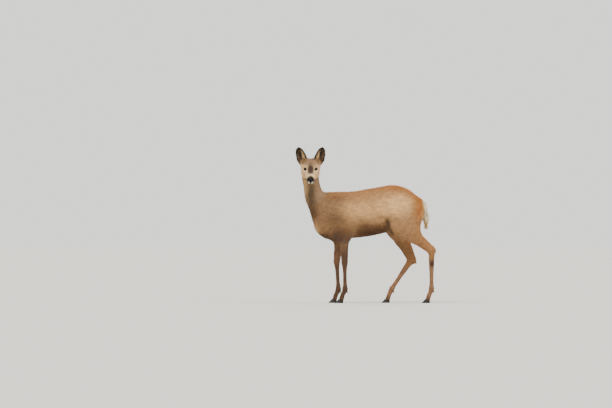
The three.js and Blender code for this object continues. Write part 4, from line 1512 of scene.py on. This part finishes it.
    def comb_head(self) -> None:
        """Sets the size and the lift of the hair on the head, the throat and the ears."""
        points, normals = self.net.points, self.net.normals()
        q = HEAD.inside(points)
        head = self.share[:, Part.HEAD.value]
        muzzle = head * ramp(20, 80, q[:, 1])
        self.length *= 1.0 - 0.5 * muzzle
        self.width *= 1.0 - 0.25 * muzzle
        nape = head * ramp(-20, -50, q[:, 1])
        crown = head * ramp(-18, -34, q[:, 1]) * ramp(8, 20, q[:, 2])
        self.length *= 1.0 + 0.8 * np.maximum(nape, crown)
        self.lift += 16.0 * crown
        throat = self.share[:, Part.NECK.value] * ramp(0.60, 0.72, points[:, 2])
        self.length *= 1.0 - 0.4 * throat
        self.width *= 1.0 - 0.25 * throat
        self.length *= 1.0 + 0.9 * self.ear_root
        self.lift += 6.0 * self.ear_root
        for side, axes in EARS.items():
            ear = self.share[:, Part[f"EAR_{side.upper()}"].value]
            across, up, front = axes.inside(points, normals)
            wool = ear * ramp(0.0, 0.4, front) * ramp(0.62, 0.35, up) * ramp(0.15, -0.25, across)
            self.length *= 1.0 + 1.3 * wool
            self.lift += 12.0 * wool

    def comb_body(self) -> None:
        """Fluffs the white patch of the rump."""
        patch = spot(self.net.points - PLACE, (0.350, 0.017, 0.572), (0.018, 0.044, 0.046))
        patch *= self.share[:, Part.TRUNK.value]
        self.length *= 1.0 + 0.25 * patch
        self.lift += 16.0 * patch

    def store(self) -> None:
        """Writes the markings and the bare places into the mesh and dresses it."""
        mesh = self.object.data
        colours = Markings().paint(self.net.points, self.net.normals(), self.share, self.soft)
        set_colours(mesh, "marking", colours * self.felt)
        set_values(mesh, "bare", self.bare)
        mesh.polygons.foreach_set("use_smooth", np.ones(len(mesh.polygons), bool))
        mesh.materials.clear()
        mesh.materials.append(SkinFinish("skin_felt").make())
        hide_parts(*flesh_nodes())
        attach(self.object, BODY)


# ---------------------------------------------------------------- coat


@dataclass
class CoatPiece:
    """One piece of the coat.

    Attributes:
        name: The piece's name.
        slot: The material slot that it takes its finish from.
        parts: The parts of the body that it covers.
        along: Axis round which the skin under it is unrolled.
        within: Lowest and highest place along X.
        side: -1 or 1 for one side only, or 0 for both.
    """

    name: str
    slot: str
    parts: tuple[Part, ...]
    along: tuple[float, float, float] = (0.0, 0.0, 1.0)
    within: tuple[float, float] = (-9.0, 9.0)
    side: int = 0

    def covers(self, skin: Skin) -> np.ndarray:
        """Finds the skin under the piece.

        Args:
            skin: The whole skin.

        Returns:
            For each triangle of the skin, whether it lies under the piece.
        """
        corners = skin.net.triangles
        part = skin.part[corners[:, 0]]
        middle = skin.net.points[corners].mean(1)
        chosen = np.isin(part, [p.value for p in self.parts])
        chosen &= (middle[:, 0] >= self.within[0]) & (middle[:, 0] < self.within[1])
        if self.side:
            chosen &= (middle[:, 1] - HALF_WAY) * self.side > 0.0
        return chosen


HALF_WAY = 0.017
FORE_PARTS = (Part.FORE_UPPER, Part.FORE_SHANK, Part.FORE_CANNON, Part.FORE_PASTERN)
HIND_PARTS = (Part.HIND_UPPER, Part.HIND_SHANK, Part.HIND_CANNON, Part.HIND_PASTERN)
COAT_PIECES = (
    CoatPiece("coat_shoulders", "coat", (Part.TRUNK,), (1, 0, 0), (-9, -0.08)),
    CoatPiece("coat_barrel", "coat", (Part.TRUNK,), (1, 0, 0), (-0.08, 0.09)),
    CoatPiece("coat_rump", "coat", (Part.TRUNK,), (1, 0, 0), (0.09, 9)),
    CoatPiece("coat_neck", "coat", (Part.NECK,), (-0.3, 0, 1)),
    CoatPiece("coat_face_right", "coat", (Part.HEAD,), (0, 0.89, 0.45), (-9, -0.3317)),
    CoatPiece("coat_face_left", "coat", (Part.HEAD,), (0, 0.89, 0.45), (-0.3317, 9)),
    CoatPiece("coat_ear_left", "dark_fur", (Part.EAR_LEFT,), (0.3, 0.1, 0.95)),
    CoatPiece("coat_ear_right", "dark_fur", (Part.EAR_RIGHT,), (-0.3, 0.1, 0.95)),
    CoatPiece("coat_tail", "white_fur", (Part.TAIL,)),
    CoatPiece("coat_foreleg_left", "leg_fur", FORE_PARTS, side=-1),
    CoatPiece("coat_foreleg_right", "leg_fur", FORE_PARTS, side=1),
    CoatPiece("coat_hindleg_left", "leg_fur", HIND_PARTS, side=-1),
    CoatPiece("coat_hindleg_right", "leg_fur", HIND_PARTS, side=1),
)


@dataclass
class Roots:
    """Where the tufts of one piece of the coat stand, and how each one lies."""

    place: np.ndarray
    normal: np.ndarray
    flow: np.ndarray
    share: np.ndarray
    soft: np.ndarray
    length: np.ndarray
    width: np.ndarray
    lift: np.ndarray


@dataclass
class Coat:
    """The coat: thin closed tufts that overlap along the lie of the hair.

    Attributes:
        skin: The skin that it grows on.
        most: Most tufts in one piece.
        patch: Size of a tuft on the map of its skin.
        sunk_mm: How deep a tuft's root stands in the skin.
        bins: Number of levels at which the middle of a part is worked out for its map.
    """

    skin: Skin
    most: int = 33000
    patch: float = 0.003
    sunk_mm: float = 0.5
    bins: int = 24

    # a tuft: root, left, right, ridge, tip
    corners = 5
    faces = np.array(((0, 1, 3), (0, 3, 2), (0, 2, 1), (4, 3, 1), (4, 2, 3), (4, 1, 2)))
    map_corners = np.array(((0, -1), (-1, 0), (1, 0), (0, 0), (0, 1)), float)

    def build(self) -> None:
        """Makes every piece of the coat."""
        markings = Markings()
        finish = FurFinish("winter_coat").make()
        leg_finish = FurFinish("leg_coat", 0.72, 0.08).make()
        for index, piece in enumerate(COAT_PIECES):
            chance = np.random.default_rng(SEED + index)
            roots = self.roots(piece, chance)
            thing = self.tufts(piece, roots, markings, chance)
            thing.data.materials.append(leg_finish if piece.slot == "leg_fur" else finish)
            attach(thing, BODY)
            LOG.info("%s: %d tufts", piece.name, len(roots.place))

    def roots(self, piece: CoatPiece, chance: np.random.Generator) -> Roots:
        """Spreads the roots evenly over the skin under one piece.

        Args:
            piece: The piece of the coat.
            chance: Where the random draws come from.

        Returns:
            The roots.
        """
        skin, net = self.skin, self.skin.net
        chosen = np.flatnonzero(piece.covers(skin))
        corners = net.triangles[chosen]
        cover, length, width = (
            field[corners].mean(1) for field in (skin.cover, skin.length, skin.width)
        )
        wanted = net.areas()[chosen] * cover / (0.5 * length * width * MM * MM)
        total = wanted.sum()
        if total > self.most:
            wanted *= self.most / total
        running = np.cumsum(wanted)
        count = int(running[-1])
        ticks = (np.arange(count) + chance.uniform(0, 1, count)) * running[-1] / count
        picked = np.minimum(np.searchsorted(running, ticks), len(corners) - 1)
        first, second = chance.uniform(0, 1, (2, count))
        folded = first + second > 1
        first, second = np.where(folded, 1 - first, first), np.where(folded, 1 - second, second)
        weights = np.stack((1 - first - second, first, second), 1)
        corner = corners[picked]

        def blend(values: np.ndarray) -> np.ndarray:
            """Values at the roots, from those at the corners of their triangles."""
            taken = values[corner]
            return (taken * weights.reshape(weights.shape + (1,) * (taken.ndim - 2))).sum(1)

        return Roots(
            blend(net.points), unit(blend(net.normals())), blend(skin.flow), blend(skin.share),
            blend(skin.soft), blend(skin.length), blend(skin.width), blend(skin.lift),
        )

    def tufts(self, piece: CoatPiece, roots: Roots, markings: Markings,
              chance: np.random.Generator) -> bpy.types.Object:
        """Builds one piece's tufts as a single mesh.

        Args:
            piece: The piece of the coat.
            roots: Where its tufts stand.
            markings: The colours of the coat.
            chance: Where the random draws come from.

        Returns:
            The piece's object.
        """
        count = len(roots.place)
        out = roots.normal
        length = roots.length * chance.uniform(0.75, 1.25, count) * MM
        width = roots.width * chance.uniform(0.7, 1.3, count) * MM
        sway = 0.16 * ripple(roots.place, 0.035, 5) + chance.normal(0, 0.11, count)
        raised = 1 + 0.22 * ripple(roots.place, 0.03, 9) + chance.normal(0, 0.18, count)
        lift = np.radians(np.clip(roots.lift * raised, 2.5, 60.0))
        along = unit(roots.flow - out * (roots.flow * out).sum(1)[:, None])
        across = np.cross(out, along)
        along = unit(along + across * sway[:, None])
        across = np.cross(out, along)
        start = roots.place - out * (self.sunk_mm * MM)
        arch = lift + np.radians(7.0)
        middle = start + (along * np.cos(arch)[:, None] + out * np.sin(arch)[:, None]) * (
            0.42 * length[:, None])
        tip = start + (along * np.cos(lift)[:, None] + out * np.sin(lift)[:, None]) * length[:, None]
        half = across * (width / 2)[:, None]
        ridge = middle + out * (width * 0.2)[:, None]
        points = np.stack((start, middle - half, middle + half, ridge, tip), 1).reshape(-1, 3)
        triangles = (self.faces[None] + self.corners * np.arange(count)[:, None, None]).reshape(-1, 3)
        mesh = bpy.data.meshes.new(piece.name)
        mesh.vertices.add(len(points))
        mesh.vertices.foreach_set("co", points.astype(np.float32).ravel())
        mesh.loops.add(triangles.size)
        mesh.loops.foreach_set("vertex_index", triangles.astype(np.int32).ravel())
        mesh.polygons.add(len(triangles))
        mesh.polygons.foreach_set("loop_start", np.arange(0, triangles.size, 3, dtype=np.int32))
        mesh.polygons.foreach_set("use_smooth", np.ones(len(triangles), bool))
        mesh.update(calc_edges=True)
        self.colour(mesh, roots, markings, chance)
        self.map(mesh, piece, roots, triangles)
        return new_object(piece.name, mesh)

    def colour(self, mesh: bpy.types.Mesh, roots: Roots, markings: Markings,
               chance: np.random.Generator) -> None:
        """Gives each tuft its marking, darker at the root and ticked towards the tip.

        Args:
            mesh: The tufts.
            roots: Where they stand.
            markings: The colours of the coat.
            chance: Where the random draws come from.
        """
        count = len(roots.place)
        base = markings.paint(roots.place, roots.normal, roots.share, roots.soft)
        shade = chance.normal(1.0, 0.06, count) + 0.07 * ripple(roots.place, 0.035, 21)
        streak = ripple(roots.place * (0.3, 1, 1), 0.013, 33)
        shade += 0.10 * streak * (1.0 - roots.soft[:, Part.HEAD.value])
        base = base * np.clip(shade, 0.7, 1.3)[:, None]
        tint = chance.normal(0, 0.03, (count, 1)) * np.array((1.0, 0.1, -1.0))
        base = base * (1 + tint)
        ticking = np.where(chance.uniform(0, 1, count) < 0.3, 0.84, 1.07)[:, None]
        rows = np.stack((base * 0.78, base, base, base * 1.03, base * ticking), 1)
        set_colours(mesh, "marking", np.clip(rows.reshape(-1, 3), 0.0, 1.0))

    def map(self, mesh: bpy.types.Mesh, piece: CoatPiece, roots: Roots,
            triangles: np.ndarray) -> None:
        """Lays each tuft as a small patch at its root's place on the unrolled skin.

        Args:
            mesh: The tufts.
            piece: The piece of the coat.
            roots: Where the tufts stand.
            triangles: The vertices of each triangle.
        """
        axis = unit(np.array(piece.along, float))
        height = roots.place @ axis
        low, high = height.min(), height.max()
        level = (height - low) / (high - low)
        bins = np.minimum((level * self.bins).astype(int), self.bins - 1)
        filled = np.maximum(np.bincount(bins, minlength=self.bins), 1)
        summed = [np.bincount(bins, roots.place[:, i], self.bins) for i in range(3)]
        middle = np.stack(summed, 1) / filled[:, None]
        levels = (np.arange(self.bins) + 0.5) / self.bins
        centre = np.stack([np.interp(level, levels, middle[:, i]) for i in range(3)], 1)
        first = unit(np.cross(axis, (0.13, 1.0, 0.07)))
        second = np.cross(axis, first)
        away = roots.place - centre
        turn = np.arctan2(away @ second, away @ first) / (2 * math.pi) + 0.5
        margin = self.patch
        spot_uv = np.stack((turn, level), 1) * (1 - 2 * margin) + margin
        corners = spot_uv[:, None] + self.map_corners[None] * self.patch / 2
        layer = mesh.uv_layers.new(name="OFBake")
        placed = corners.reshape(-1, 2)[triangles.ravel()]
        layer.data.foreach_set("uv", placed.astype(np.float32).ravel())


# ---------------------------------------------------------------- eyes, hooves and dewclaws


@dataclass
class Eyes:
    """The two eyeballs, with their corneas."""

    cornea_mm: float = 0.9
    cornea_spread_mm: float = 6.5
    lids: Lids = field(default_factory=Lids)

    def build(self) -> None:
        """Makes both eyes."""
        for side in SIDES:
            self.eyeball(side)

    def eyeball(self, side: str) -> None:
        """Makes one eye, its pole towards the lids' opening.

        Args:
            side: Which eye.
        """
        axes = self.lids.axes(side) @ HEAD.axes
        if np.linalg.det(axes) < 0.0:
            axes[1] = -axes[1]
        centre = Vector(HEAD.eye[side])
        turn = Matrix([list(row) for row in axes]).transposed()
        ball = bmesh.new()
        bmesh.ops.create_uvsphere(ball, u_segments=48, v_segments=32, radius=self.lids.eye_mm * MM)
        for vertex in ball.verts:
            reach = math.hypot(vertex.co.x, vertex.co.y) / (self.cornea_spread_mm * MM)
            if vertex.co.z > 0.0:
                vertex.co += vertex.co.normalized() * self.cornea_mm * MM * math.exp(-reach**4)
        bmesh.ops.transform(ball, matrix=Matrix.Translation(centre) @ turn.to_4x4(), verts=ball.verts)
        for face in ball.faces:
            face.smooth = True
        mesh = bpy.data.meshes.new(f"eyeball_{side}")
        ball.to_mesh(mesh)
        ball.free()
        thing = new_object(f"eyeball_{side}", mesh)
        finish = EyeFinish(f"wet_eye_{side}", tuple(centre), tuple(turn.to_euler("XYZ")))
        mesh.materials.append(finish.make())
        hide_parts(f"eye_{side}")
        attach(thing, BODY)
        LOG.info("%s: %d faces", thing.name, len(mesh.polygons))


@dataclass
class HornOfTheFeet:
    """Hooves and dewclaws, rounded from the frame's own.

    Attributes:
        ring_mm: Height of a growth ring over the groove beside it.
        ring_every_mm: Distance from one ring to the next.
        ring_fade_mm: Height over the sole within which the rings fade out.
        sole_mm: Height of the rim of the sole that stays as it is.
    """

    ring_mm: float = 0.1
    ring_every_mm: float = 3.1
    ring_fade_mm: float = 4.0
    sole_mm: float = 0.6

    def build(self) -> None:
        """Makes the horn of all four feet."""
        finish = HornFinish("hoof_horn").make()
        for corner in CORNERS:
            for toe in ("outer", "inner"):
                self.refined(f"hoof_{corner}_{toe}", finish, sole=True)
                self.refined(f"dewclaw_{corner}_{toe}", finish, sole=False)

    def refined(self, node: str, finish: bpy.types.Material, sole: bool) -> None:
        """Makes one piece: finer, rounded, with growth rings.

        Args:
            node: The frame's piece that it replaces.
            finish: Its material.
            sole: Whether its underside stays flat.
        """
        horn = bmesh.new()
        horn.from_mesh(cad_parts[node].data)
        bmesh.ops.remove_doubles(horn, verts=horn.verts, dist=1e-5)
        bmesh.ops.subdivide_edges(horn, edges=horn.edges[:], cuts=2, use_grid_fill=True)
        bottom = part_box(node)[0].z
        sole_top = bottom + self.sole_mm * MM
        moving = [vertex for vertex in horn.verts if not sole or vertex.co.z > sole_top]
        for _ in range(3):
            bmesh.ops.smooth_vert(horn, verts=moving, factor=0.5, use_axis_x=True, use_axis_y=True,
                                  use_axis_z=True)
        horn.normal_update()
        for vertex in moving:
            above = vertex.co.z - bottom
            fade = min(1.0, above / (self.ring_fade_mm * MM))
            wave = math.sin(above / (self.ring_every_mm * MM) * 2 * math.pi)
            vertex.co += vertex.normal * wave * self.ring_mm * MM * fade * 0.5
        for face in horn.faces:
            face.smooth = abs(face.normal.z) < 0.98
        name = f"horn_{node}"
        mesh = bpy.data.meshes.new(name)
        horn.to_mesh(mesh)
        horn.free()
        thing = new_object(name, mesh)
        mesh.materials.clear()
        mesh.materials.append(finish)
        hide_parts(node)
        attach(thing, BODY)


# ---------------------------------------------------------------- studio


@dataclass
class Studio:
    """The pale floor, the soft light and the camera.

    Attributes:
        floor_size: Length of the floor's sides.
        lens_mm: Focal length of the camera.
        camera_place: Where the camera stands, beside a body in the marks' own frame.
        camera_aim: The place in the middle of its picture.
        horizon: Light from just over the floor's edge.
        sky: Light from above.
    """

    floor_size: float = 90.0
    lens_mm: float = 500.0
    camera_place: tuple = (-0.361, -51.0, 0.70)
    camera_aim: tuple = (-0.361, 0.0, 0.594)
    horizon: tuple = (1.42, 1.40, 1.36)
    sky: tuple = (1.12, 1.10, 1.07)

    def build(self) -> None:
        """Makes the studio."""
        self.floor()
        self.light()
        self.camera()

    def floor(self) -> None:
        """Lays the floor."""
        sheet = bmesh.new()
        bmesh.ops.create_grid(sheet, x_segments=8, y_segments=8, size=self.floor_size / 2)
        mesh = bpy.data.meshes.new("floor")
        sheet.to_mesh(mesh)
        sheet.free()
        thing = new_object("floor", mesh)
        mesh.materials.append(FloorFinish("pale_floor").make())

    def light(self) -> None:
        """Sets a soft sky and three broad lights: key, fill and back."""
        world = bpy.data.worlds.new("studio")
        world.use_nodes = True
        tree = world.node_tree
        ground = tree.nodes["Background"]
        place = tree.nodes.new("ShaderNodeTexCoord")
        apart = tree.nodes.new("ShaderNodeSeparateXYZ")
        shades = tree.nodes.new("ShaderNodeValToRGB")
        tree.links.new(place.outputs["Generated"], apart.inputs["Vector"])
        tree.links.new(apart.outputs["Z"], shades.inputs["Fac"])
        tree.links.new(shades.outputs["Color"], ground.inputs["Color"])
        first, second = shades.color_ramp.elements
        first.position, first.color = 0.04, (*self.horizon, 1.0)
        second.position, second.color = 0.30, (*self.sky, 1.0)
        bpy.context.scene.world = world
        self.sun("key", (-0.34, -0.60, 0.72), 30.0, 3.6, (1.0, 0.955, 0.88))
        self.sun("fill", (0.93, -0.30, 0.25), 45.0, 3.0, (1.0, 0.97, 0.93))
        self.sun("back", (0.1, 0.75, 0.65), 40.0, 1.2, (1.0, 0.98, 0.95))

    def sun(self, name: str, source: Sequence[float], spread_deg: float, strength: float,
            colour: tuple) -> None:
        """Adds one broad, distant light.

        Args:
            name: Its name.
            source: Way from the doe to the light.
            spread_deg: How wide it looks.
            strength: How bright it is.
            colour: Its colour, linear.
        """
        data = bpy.data.lights.new(name, "SUN")
        data.angle = math.radians(spread_deg)
        data.energy = strength
        data.color = colour
        lamp = bpy.data.objects.new(name, data)
        bpy.context.scene.collection.objects.link(lamp)
        lamp.rotation_euler = Vector(source).to_track_quat("Z", "Y").to_euler()

    def camera(self) -> None:
        """Stands the camera far off, level with the back."""
        data = bpy.data.cameras.new("camera")
        data.lens = self.lens_mm
        data.sensor_width = 36.0
        data.clip_start = 1.0
        data.clip_end = 200.0
        camera = bpy.data.objects.new("camera", data)
        bpy.context.scene.collection.objects.link(camera)
        camera.location = Vector(self.camera_place) + Vector((PLACE[0], 0.0, 0.0))
        aim = Vector(self.camera_aim) - Vector(self.camera_place)
        camera.rotation_euler = aim.to_track_quat("-Z", "Y").to_euler()
        bpy.context.scene.camera = camera


def main() -> None:
    """Builds the doe and her studio."""
    logging.basicConfig(level=logging.INFO, format="%(name)s %(message)s", stream=sys.stdout)
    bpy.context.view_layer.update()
    Studio().build()
    Eyes().build()
    HornOfTheFeet().build()
    skin = Skin().build()
    Coat(skin).build()


if __name__ == "__main__":
    main()
